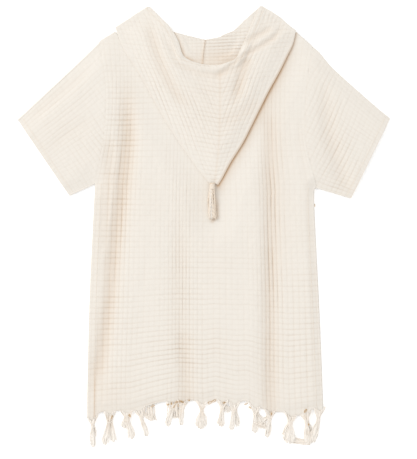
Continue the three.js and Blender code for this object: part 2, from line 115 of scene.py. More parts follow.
# Half hoods, row by row: the folded outer edge, then the rim (rows 0 to 6) or the crown seam.
CROWN_EDGE = {
    "left": [
        (-93.6, 649.2), (-111.7, 637.8), (-128.8, 626.4), (-144.8, 616), (-132, 582.4),
        (-117.6, 558.4), (-101.6, 532.8), (-80.8, 494.4), (-58.4, 456), (-34.4, 419.2),
        (-10.4, 385.6), (3, 369.6), (8.4, 363.2),
    ],
    "right": [
        (91.2, 650), (117.3, 634), (131, 622), (144.8, 611), (140, 588.8),
        (131, 569.6), (119.2, 545.6), (100, 510.4), (80.8, 472), (60.8, 432),
        (40.8, 400), (28, 376), (20.4, 363.2),
    ],
}
CROWN_SEAM = [
    (23.2, 553.6), (23.2, 518.4), (23.2, 483.2), (22.4, 446.4), (20, 409.6), (16.8, 384), (14.4, 366.4),
]
CROWN_IN = {
    "left": [
        (-90.4, 648.4), (-72.8, 630.4), (-56.8, 613.4), (-44.8, 593.6), (-34.4, 567.2),
        (-5.6, 555.2), *CROWN_SEAM,
    ],
    "right": [
        (87.8, 649.2), (79.4, 630.8), (71.2, 611.2), (64, 594.6), (56, 577.6),
        (47.2, 563.2), *CROWN_SEAM,
    ],
}
ROW_NECK = 3
ROW_FOREHEAD = 6
ROW_TIP = 12
THROAT_RIM = {
    "left": [(-90.4, 648.4), (-55.2, 612), (-37.6, 597.5), (-20, 594.4), (0, THROAT_SEAM_TOP)],
    "right": [
        (87.8, 649.2), (63.2, 627.2), (55.2, 619.2), (44, 609.6), (29.6, 603.7), (16.8, 596.3),
        (0, THROAT_SEAM_TOP),
    ],
}
ROW_THROAT_TOP = 2

# ---- Folds: half width, depth (a ridge is below 0), and the line each one follows ----
BODY_FOLDS = [
    (13, 0.92, [(-126, 550), (-123, 435), (-135, 340), (-143, 290), (-148, 240), (-152, 205)]),
    (12, 0.88, [(-140, 330), (-145, 270), (-152, 190), (-165, 99), (-176, 46)]),
    (12, 0.4, [(-150, 450), (-154, 390), (-158, 310), (-160, 240)]),
    (15, 0.24, [(-41, 340), (-40, 206), (-38, 120), (-34, 60)]),
    (13, 0.5, [(-37, 150), (-34, 90), (-31, 40), (-31, -60)]),
    (12, 0.5, [(101, 500), (103, 420), (104, 330), (106, 200)]),
    (12, 0.64, [(104, 300), (105, 240), (104, 200), (104, 60), (104, -60)]),
    (6, 0.12, [(146, 483), (154, 414), (162, 360), (167, 286), (175, 179)]),
    (13, 0.5, [(188, 540), (198, 446), (214, 392), (230, 345)]),
    (8, 0.34, [(-286, 464), (-237, 506), (-192, 543)]),
    (10, 0.14, [(-255, 415), (-215, 450), (-180, 470)]),
    (16, -0.3, [(-100, 540), (-98, 420), (-108, 280), (-122, 150), (-138, 30)]),
    (14, -0.12, [(-166, 400), (-172, 300), (-180, 200)]),
    (30, -0.9, [(166, 520), (166, 330), (168, 100), (172, -60)]),
    (22, -0.5, [(296, 470), (274, 420), (250, 370), (236, 340)]),
    (14, -0.3, [(78, 400), (82, 250), (74, 90)]),
]
HOOD_FOLDS = [
    (9, 0.6, [(-97, 635), (-87, 603), (-79, 579), (-70, 552), (-57, 525), (-44, 504), (-30, 494)]),
    (8, -0.55, [(-72, 600), (-58, 570), (-30, 528), (10, 488)]),
    (9, 0.85, [(70, 572), (63, 552), (56, 530), (48, 500)]),
    (5, 0.62, [(110, 617), (90, 605), (74, 598), (64, 590)]),
    (6, -0.52, [(121, 626), (103, 606), (84, 589), (60, 573), (36, 557), (10, 547)]),
    (4.5, 0.66, [(129, 622), (108, 597), (79, 579), (57, 568), (36, 550), (18, 537)]),
    (8, -0.4, [(70, 560), (62, 540), (80, 500)]),
    (12, 0.35, [(90, 500), (60, 478), (30, 462)]),
    (16, -0.3, [(-96, 560), (-70, 500), (-20, 430)]),
]

# Where warm shade is painted on the back: x, y, half width, half height, strength
WARM_SHADE_ZONES = [
    (112, 400, 22, 130, 0.3), (-14, 350, 26, 50, 0.16), (-130, 380, 20, 90, 0.1),
    (-168, 20, 46, 50, 0.28), (0, 10, 150, 24, 0.08),
]

# ---- Crinkle: where its lines are strong (x, y, half width, half height, strength) ----
BODY_WARP = [
    (-37, 220, 26, 190, 0.85), (104, 250, 18, 240, 1.4), (-138, 330, 20, 190, 0.9),
    (-168, 60, 26, 70, 0.3), (150, 100, 30, 110, 0.5), (-10, 60, 30, 60, 0.3),
]
BODY_WEFT = [
    (-142, 320, 30, 170, 0.6), (-150, 100, 40, 110, 0.4), (-80, 60, 60, 80, 0.55),
    (10, 80, 80, 90, 0.55), (158, 110, 40, 120, 0.75), (-40, 140, 40, 120, 0.4),
    (-125, 450, 34, 60, 0.7), (0, 230, 60, 60, 0.2),
]
SLEEVE_ALONG = {
    "left": [(-240, 470, 60, 40, 0.4), (-210, 520, 60, 40, 0.25), (-250, 400, 40, 40, 0.2)],
    "right": [(230, 440, 60, 60, 0.25), (205, 360, 30, 20, 0.6)],
}
SLEEVE_ACROSS = {
    "left": [(-200, 400, 40, 40, 0.2), (-168, 430, 16, 60, 0.3)],
    "right": [(196, 470, 26, 70, 0.75), (215, 390, 26, 50, 0.75), (250, 440, 40, 50, 0.1)],
}

# ---- Fringe: each tassel of the upper row, and where the one below it strays ----
# root x, tip x, tip y, neck width, flare, then the lower one's tip x, tip y and flare
TASSELS = [
    (-181, -180.2, -57.6, 5, 6, -178, -42, 6),
    (-153, -161.5, -53.6, 7, 10, -147.7, -49.6, 9),
    (-126.6, -118.4, -44.8, 8, 9, -129.6, -28, 9),
    (-105.3, -94.7, -40.3, 7, 6, -87, -15.2, 18),
    (-52, -60, -24.5, 11, 6, -50, -11, 15),
    (-37, -38.6, -22.4, 9, 5, -43, -11, 12),
    (-5.8, -7.6, -28.5, 6, 18, -8, -23, 14),
    (27, 24.6, -24.6, 6, 9, 36, -2, 12),
    (46, 42.2, -30, 7, 6, 51.8, -24.6, 8),
    (79, 79.4, -35.2, 6, 7, 92, -26, 9),
    (104, 98.7, -42.6, 7, 8, 90, -24, 7),
    (136.5, 135, -52, 7, 19, 129, -42, 12),
    (160.6, 165, -54.4, 6, 10, 169, -46, 9),
    (183, 173, -50, 6, 9, 176, -44, 8),
]
# Loose yarns: count, spread across and along, and the line they follow
STRAY_YARNS = [
    (26, (0.8, 2.6), [(136, -45, 4), (150, -48, 3.4), (166, -49, 4)]),
    (16, (5, 1.2), [(-90, 8, 4), (-90, -4, 4.4), (-86, -13, 3.6)]),
    (18, (6, 1.2), [(-45, 14, 5.4), (-45, 2, 4.6), (-45, -8, 4.2)]),
    (12, (2, 2), [(79, -17, 5), (88, -21, 6), (98, -23, 5)]),
]
# Where the hem sags between two tassels: x, half width, how much
LOW_HEM = [(147, 10, 6.5), (-112, 9, 2), (-184, 11, 8), (9, 8, 4.5)]
# Loops of thread, drawn in dark tan: x, y, width, tilt. SIDE_LOOP is a thread end at the right side.
SIDE_LOOP = (174.6, 331, 3.4, 1.5)
HEM_LOOPS = [
    (-84, 9.6, 5, 0.5), (-47, 15, 6, 0.9), (-41, 17, 5, 0.2), (-26, 18.5, 3, -0.6), (7, 14.6, 7, 0.4),
    (-60, 12, 4, 0.3), (-54, 14, 4, 1.1), (-50, 9, 5, 0.6), (-43, 11, 4, 1.3), (-37, 16, 4, -0.4),
    (-33, 12, 3, 0.8), (14, 17.6, 6, 0.45), (30, 15, 4, 0.2), (65, 13, 5, 0.6), (71, 7, 4, -0.7),
    (105, -3, 4, 1.2), (160, 2, 6, 1.0), (165, -20, 3, 1.4), (-150, -8, 5, 1.2), (-121, -6, 5, -1.0),
]
TIP_TASSEL = dict(
    x=10.9, top=367, head=10.5, head_width=9.2, head_height=8, length=59.5, spread=12.6, lean=0.3,
)
TASSEL_LAYERS = [(6, 1.15, 0.24), (6, 1.15, 0.27), (5, 1.2, 0.18)]  # yarns, their radius and how much painted shade they take
TASSEL_SHADE = [(17.6, 352), (18.6, 330), (18.4, 312), (11, 306)]


# ---- Small helpers ----
def smooth(value, low, high):
    """0 below low, 1 above high, and an even rise between."""
    t = np.clip((value - low) / (high - low), 0, 1)
    return t * t * (3 - 2 * t)


def lerp(a, b, t):
    return a + (b - a) * t


def bell(distance, width):
    """1 in the middle, and less the farther off."""
    return np.exp(-((distance / width) ** 2))


def unit(vectors):
    return vectors / (np.linalg.norm(vectors, axis=-1, keepdims=True) + 1e-9)


def stack(x, y):
    return np.stack(np.broadcast_arrays(x, y), -1)


def axes(xy):
    return xy[..., 0], xy[..., 1]


def through(points, t):
    """Points of a soft curve through a table's rows. t counts the rows."""
    p = np.asarray(points, float)
    t = np.asarray(t, float)
    last = len(p) - 1
    i = np.clip(np.floor(t).astype(int), 0, last - 1)
    k = (t - i)[..., None]
    p0 = p[np.maximum(i - 1, 0)]
    p1 = p[i]
    p2 = p[i + 1]
    p3 = p[np.minimum(i + 2, last)]
    v0 = (p2 - p0) / 2
    v1 = (p3 - p1) / 2
    return (2 * p1 - 2 * p2 + v0 + v1) * k**3 + (3 * p2 - 3 * p1 - 2 * v0 - v1) * k**2 + v0 * k + p1


def by_length(points):
    """The same curve as a function of the share of its length."""
    fine = through(points, np.linspace(0, len(points) - 1, 600))
    run = np.concatenate([[0], np.cumsum(np.hypot(*np.diff(fine, axis=0).T))])
    run /= run[-1]

    def at(t):
        return stack(np.interp(t, run, fine[:, 0]), np.interp(t, run, fine[:, 1]))
    return at


def coons(bottom, top, left, right, c, r):
    """Points of a grid between four curves that meet at its corners."""
    cc = c[..., None]
    rr = r[..., None]
    across = lerp(left(r), right(r), cc)
    along = lerp(bottom(c), top(c), rr)
    zero = np.zeros_like(c)
    one = zero + 1
    both = lerp(lerp(bottom(zero), bottom(one), cc), lerp(top(zero), top(one), cc), rr)
    return across + along - both


def to_chain(x, y, line):
    """Distance from each point to a chain of straight lines, and how far along the chain it lies."""
    best = np.full(np.shape(x), 1e9)
    where = np.zeros(np.shape(x))
    for i, ((ax, ay), (bx, by)) in enumerate(zip(line, line[1:])):
        dx = bx - ax
        dy = by - ay
        k = np.clip(((x - ax) * dx + (y - ay) * dy) / (dx * dx + dy * dy), 0, 1)
        d = np.hypot(x - ax - k * dx, y - ay - k * dy)
        nearer = d < best
        best = np.where(nearer, d, best)
        where = np.where(nearer, (i + k) / (len(line) - 1), where)
    return best, where


def fold_depth(x, y, folds):
    """How deep the folds reach at a point. A fold fades out at its ends; a ridge counts below 0."""
    deep = np.zeros(np.shape(x))
    high = np.zeros(np.shape(x))
    for half, depth, line in folds:
        d, t = to_chain(x, y, line)
        ends = smooth(t, -0.01, 0.2) * (1 - 0.6 * smooth(t, 0.85, 1.01))
        reach = abs(depth) * ends * bell(d, half)
        if depth > 0:
            deep = np.maximum(deep, reach)
        else:
            high = np.maximum(high, reach)
    return deep, high


def drift(x, y, size, seed):
    """Slow uneven change over the cloth, from -1 to 1. size is how far its ups and downs lie apart."""
    lattice = np.random.default_rng(seed).uniform(-1, 1, (97, 97))
    gx = np.asarray(x) / size[0] + 41.3
    gy = np.asarray(y) / size[1] + 37.7
    ix = np.floor(gx).astype(int)
    iy = np.floor(gy).astype(int)
    fx = smooth(gx - ix, 0, 1)
    fy = smooth(gy - iy, 0, 1)
    low = lerp(lattice[iy % 97, ix % 97], lattice[iy % 97, (ix + 1) % 97], fx)
    high = lerp(lattice[(iy + 1) % 97, ix % 97], lattice[(iy + 1) % 97, (ix + 1) % 97], fx)
    return lerp(low, high, fy)


def zones(x, y, base, spots):
    total = np.full(np.shape(x), float(base))
    for sx, sy, hx, hy, strength in spots:
        total += strength * bell(x - sx, hx) * bell(y - sy, hy)
    return total


def off_edges(c, r, steep):
    """0 at the edges of a grid and 1 a little way in."""
    return np.clip(steep * c * (1 - c), 0, 1) * np.clip(steep * r * (1 - r), 0, 1)


def groove(phase):
    """1 on a line of the crinkle and 0 halfway to the next."""
    return (0.5 + 0.5 * np.cos(2 * np.pi * phase)) ** GROOVE_EDGE


def uneven(x, y, phase, along, strength, seed):
    """How deep one family of lines is. Each line fades and deepens on its way."""
    line = np.round(phase)
    depth = 0.66 + 0.34 * drift(line * 9.0, along, (6, 56), seed)
    return strength * depth * (0.8 + 0.2 * drift(x, y, (14, 14), seed + 1))


def crinkle(phases, depths):
    """Depth of all families together, and what the finish needs to know of them."""
    total = sum(depth * groove(phase) for phase, depth in zip(phases, depths))
    while len(phases) < 3:
        phases = [*phases, 0 * phases[0]]
        depths = [*depths, 0 * depths[0]]
    return total, dict(thread=np.stack(phases, -1), crease=np.stack(depths, -1))


def neck_y(x, depth):
    return NECK_Y - depth * (1 - np.minimum(1, np.abs(x) / NECK_HALF) ** NECK_ROUND)


# ---- Heights of the big forms ----
CLOSED_EDGES = [
    (SIDE["left"], 40), (OVERARM["left"], 34), (UNDERARM["left"], 26),
    (SIDE["right"], 17), (OVERARM["right"], 24), (UNDERARM["right"], 20),
]  # and how far in from each one the loft rises
SIDE_WALL = 0.6  # the share of the loft that stays at the body's sides
SIDE_WALL_TOP = 358  # up to this height above the hem
SIDE_FOOT = 1.3  # and there the back comes down to this level, onto the front's edge
HEM_LOFT = 0.3  # the share of the loft at the hem
HEM_PRESSED = 18  # how far up from it the loft is less
HOOD_PRESSES = (4, 46)  # the hood's weight reaches this far out
LOFT_UNEVEN = 0.25
RIDGE_RISE = 0.6
HOOD_AREA = [
    *CROWN_EDGE["left"],
    (TIP_TASSEL["x"], TIP_TASSEL["top"] - TIP_TASSEL["length"]),
    *reversed(CROWN_EDGE["right"]),
]
NAPE_LEVEL = 4.8
THROAT_LEVEL = 1.2
SEAM_SWAY = 4.4  # how far the throat's seam bends to the left
THROAT_RISE = 6.6  # the throat stands up off the table in the middle
THROAT_TILT = 0.04  # it leans a little to the left
THROAT_CLEAR = 2.0  # and stays this far below the top of the crown


def inside_hood(x, y):
    inside = np.zeros(np.shape(x), bool)
    for (bx, by), (ax, ay) in zip(HOOD_AREA, HOOD_AREA[-1:] + HOOD_AREA[:-1]):
        if ay != by:
            crosses = ((ay > y) != (by > y)) & (x < (bx - ax) * (y - ay) / (by - ay) + ax)
            inside ^= crosses
    return inside


def pressed(x, y):
    """The hood presses the back flat under it and for a little way round it."""
    d, _ = to_chain(x, y, HOOD_AREA)
    return np.where(inside_hood(x, y), 1, 1 - smooth(d, *HOOD_PRESSES))


def hem_height(x):
    return np.interp(x, [p[0] for p in HEM], [p[1] for p in HEM])


def side_wall(x, y):
    """How much of the loft stays at a side, where back and front meet in an upright fold."""
    return SIDE_WALL * smooth(np.abs(x), 100, 150) * smooth(SIDE_WALL_TOP - y, 0, 20)


def upper_top(x, y):
    """Top of the upper layer of body and sleeves, and how deep in a fold it lies."""
    edge = np.full(np.shape(x), 1e9)
    for line, soft in CLOSED_EDGES:
        edge = np.minimum(edge, to_chain(x, y, line)[0] / soft)
    deep, high = fold_depth(x, y, BODY_FOLDS)
    slow = 0.7 * drift(x, y, (90, 150), 3) + 0.3 * drift(x, y, (40, 60), 4)
    loft = LOFT * (1 + LOFT_UNEVEN * slow + RIDGE_RISE * high) - (LOFT + FOLD_DROP) * deep
    loft = np.maximum(loft, -0.6 + 0.5 * drift(x, y, (20, 30), 5))
    near_hem = lerp(HEM_LOFT, 1, smooth(y - hem_height(x), 0, HEM_PRESSED))
    loft = loft * lerp(side_wall(x, y), 1, smooth(edge, 0, 1)) * near_hem
    bed = 2 * WALL + SEAM
    return bed + lerp(loft + 0.6, 0.5, pressed(x, y)), deep


# ---- Meshes ----
SHIFT = np.array([
    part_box("hood_left")[0].x / MM + 144.8,
    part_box("hood_left")[1].y / MM - 646.4,
])


def patch(xy, z, shade_and_tone=0.0, run=None, turned=False):
    """A grid of cloth, with the run of its crinkle and how much painted shade and own tone it takes."""
    points = np.concatenate([xy, np.broadcast_to(z, xy.shape[:2])[..., None]], -1)
    shade_and_tone = np.broadcast_to(shade_and_tone, xy.shape[:2]).astype(float)
    plain = np.concatenate([xy / RIB_PITCH, 0 * xy[..., :1]], -1)
    run = run or dict(thread=plain, crease=0 * plain)
    return dict(points=points, shade_and_tone=shade_and_tone, turned=turned, **run)


GRIDS = ("points", "shade_and_tone", "thread", "crease")
BORDER_RINGS = (0.33, 0.66)  # the shares of a border's drop that its two rings take


def laid_side_by_side(parts, axis):
    """Joins grids that share an edge count into one."""
    return {**parts[0], **{key: np.concatenate([part[key] for part in parts], axis) for key in GRIDS}}


def cut(part, rows=slice(None), columns=slice(None)):
    return {**part, **{key: part[key][rows, columns] for key in GRIDS}}


def bordered(part, sides, drop, outward=0.0):
    """Turns a grid's free edges down. They also reach outward where they lap over a neighbour."""
    for side in sides:
        axis = 1 if side in ("left", "right") else 0
        last = side in ("right", "top")
        for down, out in zip(BORDER_RINGS, (0.5, 1.0)):
            rings = {}
            for key in GRIDS:
                grid = part[key]
                ring = np.take(grid, [-1 if last else 0], axis)
                if key == "points":
                    way = unit((ring - np.take(grid, [-4 if last else 3], axis))[..., :2])
                    ring = ring.copy()
                    ring[..., 2] -= drop * down
                    ring[..., :2] += np.asarray(outward, float)[..., None] * way * out
                rings[key] = np.concatenate([grid, ring] if last else [ring, grid], axis)
            part = {**part, **rings}
    return part


def make_object(name, points, faces, floats, finish):
    mesh = bpy.data.meshes.new(name)
    placed = np.array(points, float)
    placed[:, :2] += SHIFT
    mesh.from_pydata((placed * MM).tolist(), [], faces)
    mesh.polygons.foreach_set("use_smooth", [True] * len(mesh.polygons))
    for key, values in floats.items():
        values = np.asarray(values, float)
        kind = "FLOAT" if values.ndim == 1 else "FLOAT_VECTOR"
        field = "value" if values.ndim == 1 else "vector"
        mesh.attributes.new(key, kind, "POINT").data.foreach_set(field, values.ravel())
    mesh.materials.append(finish)
    thing = bpy.data.objects.new(name, mesh)
    bpy.context.scene.collection.objects.link(thing)
    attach(thing, "root")
    return thing


def cloth(name, patches, finish):
    """One piece of cloth from its grids. Points of two grids that meet become one."""
    points = []
    faces = []
    start = 0
    for part in patches:
        rows, columns = part["points"].shape[:2]
        index = start + np.arange(rows * columns).reshape(rows, columns)
        quads = [index[:-1, :-1], index[:-1, 1:], index[1:, 1:], index[1:, :-1]]
        if part["turned"]:
            quads.reverse()
        faces.append(np.stack(quads, -1).reshape(-1, 4))
        points.append(part["points"].reshape(-1, 3))
        start += rows * columns
    points = np.concatenate(points)
    faces = np.concatenate(faces)
    key = np.round(points * 200).astype(np.int64)
    _, first, same = np.unique(key, axis=0, return_index=True, return_inverse=True)
    faces = same.reshape(-1)[faces]
    corners = [list(dict.fromkeys(face)) for face in faces.tolist()]
    corners = [face for face in corners if len(face) > 2]
    shade_and_tone = np.concatenate([part["shade_and_tone"].reshape(-1) for part in patches])[first]
    floats = {"shade_and_tone": np.clip(shade_and_tone, 0, 1)}
    for key in ("thread", "crease"):
        floats[key] = np.concatenate([part[key].reshape(-1, 3) for part in patches])[first]
    return make_object(name, points[first], corners, floats, finish)


# ---- Finishes ----
class Wire:
    """What one socket of a finish gives out. Sums of wires make their own nodes."""

    def __init__(self, tree, socket=None):
        self.tree = tree
        self.socket = socket

    def node(self, kind, settings, sockets, output=0):
        made = self.tree.nodes.new(kind)
        for key, value in settings.items():
            setattr(made, key, value)
        for key, value in sockets.items():
            if isinstance(value, Wire):
                self.tree.links.new(value.socket, made.inputs[key])
            else:
                made.inputs[key].default_value = value
        return Wire(self.tree, made.outputs[output] if len(made.outputs) else None)

    def math(self, operation, a, b=0.0):
        return self.node("ShaderNodeMath", {"operation": operation}, {0: a, 1: b})

    __add__ = lambda self, other: self.math("ADD", self, other)
    __radd__ = lambda self, other: self.math("ADD", other, self)
    __sub__ = lambda self, other: self.math("SUBTRACT", self, other)
    __rsub__ = lambda self, other: self.math("SUBTRACT", other, self)
    __mul__ = lambda self, other: self.math("MULTIPLY", self, other)
    __rmul__ = lambda self, other: self.math("MULTIPLY", other, self)
    __pow__ = lambda self, other: self.math("POWER", self, other)
    sine = lambda self: self.math("SINE", self)
    cosine = lambda self: self.math("COSINE", self)

    def parts(self):
        """The three numbers of a vector."""
        split = self.node("ShaderNodeSeparateXYZ", {}, {"Vector": self})
        return [Wire(self.tree, out) for out in split.socket.node.outputs]

    def mix(self, factor, a, b):
        return self.node(
            "ShaderNodeMix", {"data_type": "RGBA"}, {"Factor": factor, 6: a, 7: b}, output=2
        )


def colour(red, green, blue):
    """A colour from the 0 to 255 values of a swatch."""
    parts = [v / 255 for v in (red, green, blue)]
    return (*[v / 12.92 if v <= 0.04045 else ((v + 0.055) / 1.055) ** 2.4 for v in parts], 1.0)


CREAM = colour(233, 227, 218)
# The colour of painted shade on the gauze: in folds, crinkle lines and under edges
SHADE_TAN = colour(193, 146, 86)
# The colour of painted shade in the crinkle lines' grooves
LINE_SHADE_BROWN = colour(168, 138, 98)
YARN_CREAM = colour(246, 241, 234)
# The colour of painted shade on the yarns, which stitches and loops also take a share of
YARN_SHADE_TAN = colour(196, 154, 88)


def soft_finish(name, light, dark, shade_and_tone_share, weave, fibre):
    """Matt cotton. Shade is painted warm into folds and crinkle lines, the tone drifts a little, and the
    weave stands out up close.
    """
    material = bpy.data.materials.new(name)
    material.use_nodes = True
    tree = material.node_tree
    tree.nodes.clear()
    start = Wire(tree)
    shade_and_tone = start.node("ShaderNodeAttribute", {"attribute_name": "shade_and_tone"}, {}, output="Fac")
    place = start.node("ShaderNodeTexCoord", {}, {}, output="Object")
    slow = start.node("ShaderNodeTexNoise", {}, {"Vector": place, "Scale": 11, "Detail": 3})
    fine = start.node("ShaderNodeTexNoise", {}, {"Vector": place, "Scale": 900, "Detail": 4})
    phases = start.node("ShaderNodeAttribute", {"attribute_name": "thread"}, {}, output="Vector").parts()
    depths = start.node("ShaderNodeAttribute", {"attribute_name": "crease"}, {}, output="Vector").parts()
    lines = 0.0
    for phase, depth in zip(phases, depths):
        lines = lines + (0.5 + 0.5 * (phase * (2 * math.pi)).cosine()) ** LINE_EDGE * depth
    # The attribute's painted shade and own tone, with a drifting tone, set how far the colour goes to the
    # dark one
    amount = shade_and_tone * shade_and_tone_share + slow * 0.06 + fine * 0.03 - 0.045
    amount = start.node("ShaderNodeClamp", {}, {"Value": amount})
    drawn = start.node("ShaderNodeClamp", {}, {"Value": lines * LINE_SHADE_SHARE})
    # Painted shade drawn in brown along the crinkle lines' grooves, over the rest
    tint = start.mix(drawn, start.mix(amount, light, dark), LINE_SHADE_BROWN)
    turn = 2 * math.pi * RIB_PITCH / THREAD_PITCH
    woven = (phases[0] * turn).sine() * (phases[1] * turn).sine()
    height = woven * weave + fine * fibre - lines * LINE_DEPTH
    bump = start.node(
        "ShaderNodeBump", {}, {"Height": height, "Strength": 0.6, "Distance": 0.12 * MM}, output="Normal"
    )
    shader = start.node("ShaderNodeBsdfPrincipled", {}, {
        "Base Color": tint,
        "Normal": bump,
        "Roughness": 0.94,
        "Specular IOR Level": 0.2,
        "Sheen Weight": 0.22,
        "Sheen Roughness": 0.5,
    })
    start.node("ShaderNodeOutputMaterial", {}, {"Surface": shader})
    return material


GAUZE = soft_finish("gauze", CREAM, SHADE_TAN, 1.0, 0.6, 0.8)
YARN = soft_finish("yarn", YARN_CREAM, YARN_SHADE_TAN, 1.0, 0.0, 1.4)


STITCHED = {}  # the lines that are sewn, filled as the pieces are made
HEM_INSET = 11
HEM_LINE = 0.34  # how dark the left side hem's stitched line is
HEM_LINE_X = -177.4
CUFF_INSET = 8
RIM_INSET = 9
STITCH = 2.3
STITCH_GAP = 0.9


# ---- Body: front and back panel ----
def side_edge(side, inward):
    low = by_length(SIDE[side])
    high = by_length(ARMHOLE[side])

    def at(r):
        below = low(np.minimum(r / UNDERARM_R, 1))
        above = high(np.clip((r - UNDERARM_R) / (1 - UNDERARM_R), 0, 1))
        p = np.where((r <= UNDERARM_R)[..., None], below, above)
        return p + np.array([inward, 0])
    return at


def shoulder_edge(depth, drop):
    left = ARMHOLE["left"][-1]
    right = ARMHOLE["right"][-1]

    def at(c):
        x = lerp(left[0] + SEAM / 2, right[0] - SEAM / 2, c)
        corner_x = np.where(x < 0, left[0], right[0])
        corner_y = np.where(x < 0, left[1], right[1])
        share = np.clip((np.abs(x) - NECK_HALF) / (np.abs(corner_x) - NECK_HALF), 0, 1)
        y = np.where(np.abs(x) < NECK_HALF, neck_y(x, depth), lerp(NECK_Y, corner_y, share))
        return stack(x, y - drop)
    return at


hem_line = by_length(HEM)
PINCH = 3.6  # half width of what one tassel draws down, before its own width is added
PULL_REACH = 7  # how far up the hem's pull is felt


def hem_pull(x):
    """How far the hem is drawn down into the tassels, and up between them."""
    pull = np.zeros(np.shape(x))
    for row in TASSELS:
        pull = np.maximum(pull, bell(x - row[0], PINCH + row[3] / 3))
    sag = sum(deep * bell(x - at, half) for at, half, deep in LOW_HEM)
    return 1.8 - 6.2 * pull - sag + 0.8 * drift(x, 0 * x, (7, 1), 12)


def drawn_down(xy):
    """Points near the hem follow its pull, which fades out upward."""
    x = xy[..., 0]
    fade = bell(xy[..., 1] - hem_height(x), PULL_REACH)
    xy[..., 1] += fade * hem_pull(x)
    return xy


BODY_RIBS = 47
WEFTS_BELOW = 43
WEFTS_ABOVE = 28
BODY_WIDTH = 374
HEM_FOLLOWED = 150  # how far up the lines across the back follow the hem
EDGE_PULL = 0.12  # how far in from a side the cloth follows its shape, as a share of the width
# Where ribs lie closer: x, half width, how much
RIBS_GATHERED = [(-40, 30, 0.75), (104, 24, 0.55), (-136, 24, 0.4)]


def body_grid(rib_steps, weft_steps, depth, drop, rise, seed):
    """Points of a panel on its own crinkle lines, with the lines' counts."""
    columns = BODY_RIBS * rib_steps
    below = WEFTS_BELOW * weft_steps
    above = WEFTS_ABOVE * weft_steps
    even = np.linspace(0, 1, 2000)
    close = 1 + sum(much * bell((even - 0.5) * BODY_WIDTH - x, half) for x, half, much in RIBS_GATHERED)
    share = np.concatenate([[0], np.cumsum(close[1:])])
    c = np.interp(np.linspace(0, 1, columns + 1), share / share[-1], even)
    r = np.concatenate([
        np.linspace(0, UNDERARM_R, below + 1),
        np.linspace(UNDERARM_R, 1, above + 1)[1:],
    ])
    c, r = np.meshgrid(c, r)
    free = off_edges(c, r, 16)
    wander_c = c + free * 0.005 * drift(c * 380, r * 610, (50, 150), seed)
    wander_r = r + free * 0.003 * drift(c * 380, r * 610, (140, 50), seed + 1)
    left = side_edge("left", SEAM / 2)
    right = side_edge("right", -SEAM / 2)
    xy = coons(
        lambda t: hem_line(t) + np.array([0, rise]), shoulder_edge(depth, drop),
        lambda t: left(t) + stack(0 * t, lerp(rise, -drop, t)),
        lambda t: right(t) + stack(0 * t, lerp(rise, -drop, t)), wander_c, wander_r,
    )
    for side, share in (("left", wander_c), ("right", 1 - wander_c)):
        line = (left if side == "left" else right)(wander_r)[..., 0]
        off_straight = line - lerp(SIDE[side][0][0], ARMHOLE[side][-1][0], wander_r)
        xy[..., 0] += off_straight * (np.exp(-share / EDGE_PULL) - (1 - share)) * np.clip(40 * share, 0, 1)
    warp = np.broadcast_to(np.arange(columns + 1) / rib_steps + 0.5, c.shape)
    weft = np.broadcast_to((np.arange(below + above + 1) / weft_steps)[:, None] + 0.5, c.shape)
    return drawn_down(xy), warp, weft


def straight_weft(x, y):
    """Count of the lines across the back. They run level, but follow the hem near it."""
    level = y - hem_height(x) * bell(y, HEM_FOLLOWED)
    return (level + 2.6 * drift(x, y, (110, 46), 17)) / WEFT_PITCH + 0.5


def body_relief(x, y, warp, weft, deep, seed):
    strong = 0.75 + 0.5 * deep
    warp_depth = uneven(x, y, warp, y, strong * zones(x, y, 0.27, BODY_WARP), seed)
    weft_depth = uneven(x, y, weft, x, strong * zones(x, y, 0.23, BODY_WEFT), seed + 7)
    lines, run = crinkle([warp, weft], [warp_depth, weft_depth])
    return lines, 0.22 * drift(x, y, (5, 6), seed + 9), run


def back_panel():
    xy, warp, _ = body_grid(RIB_STEPS, WEFT_STEPS, NECK_DEPTH_BACK, 0, 0, 11)
    x, y = axes(xy)
    weft = straight_weft(x, y)
    top, deep = upper_top(x, y)
    lines, puff, run = body_relief(x, y, warp, weft, deep, 20)
    calm = 1 - 0.6 * pressed(x, y)
    z = top + calm * (puff - RELIEF["back"] * lines)
    # Painted shade in the crinkle lines, the folds, the warm zones and under the hood's edges; then the left
    # side hem's stitched line
    shade_and_tone = SHADE_SHARE * (0.6 * lines + deep + zones(x, y, 0, WARM_SHADE_ZONES)) + hood_shade(x, y)
    shade_and_tone = shade_and_tone + HEM_LINE * bell(x - HEM_LINE_X, 1.1) * (1 - smooth(y, 40, 90))
    part = patch(xy, z, shade_and_tone, run)
    underarm = WEFTS_BELOW * WEFT_STEPS
    beside_sleeve = smooth(np.arange(xy.shape[0])[:, None], underarm - 2, underarm + 3)
    for side, edge_z in (("left", z[:, :1]), ("right", z[:, -1:])):
        wall = lerp(edge_z - SIDE_FOOT, 0.12, beside_sleeve)
        part = bordered(part, [side], wall, 0.9 * beside_sleeve)
    part = bordered(part, ["bottom", "top"], 1.0, 0.8)
    STITCHED["left_hem"] = inset(xy, z, "left", HEM_INSET)[:underarm]
    STITCHED["right_hem"] = inset(xy, z, "right", HEM_INSET)[:underarm]
    return cloth("back", [part], GAUZE)


def hood_shade(x, y):
    """The warm line under the hood's right edge, and a faint one at its left."""
    d, t = to_chain(x, y, CROWN_EDGE["right"][ROW_NECK:])
    lower = smooth(t, 0.05, 0.4)
    strong = lerp(0.4, 0.5, lower) * bell(d, 3.4) + 0.2 * lower * bell(d, 11)
    d, t = to_chain(x, y, TASSEL_SHADE)
    beside_tassel = 0.3 * bell(d, 3.2) * smooth(t, 0, 0.4)
    d, t = to_chain(x, y, CROWN_EDGE["left"][ROW_NECK:])
    return strong + beside_tassel + 0.02 * bell(d, 4) * smooth(t, 0.2, 0.5)


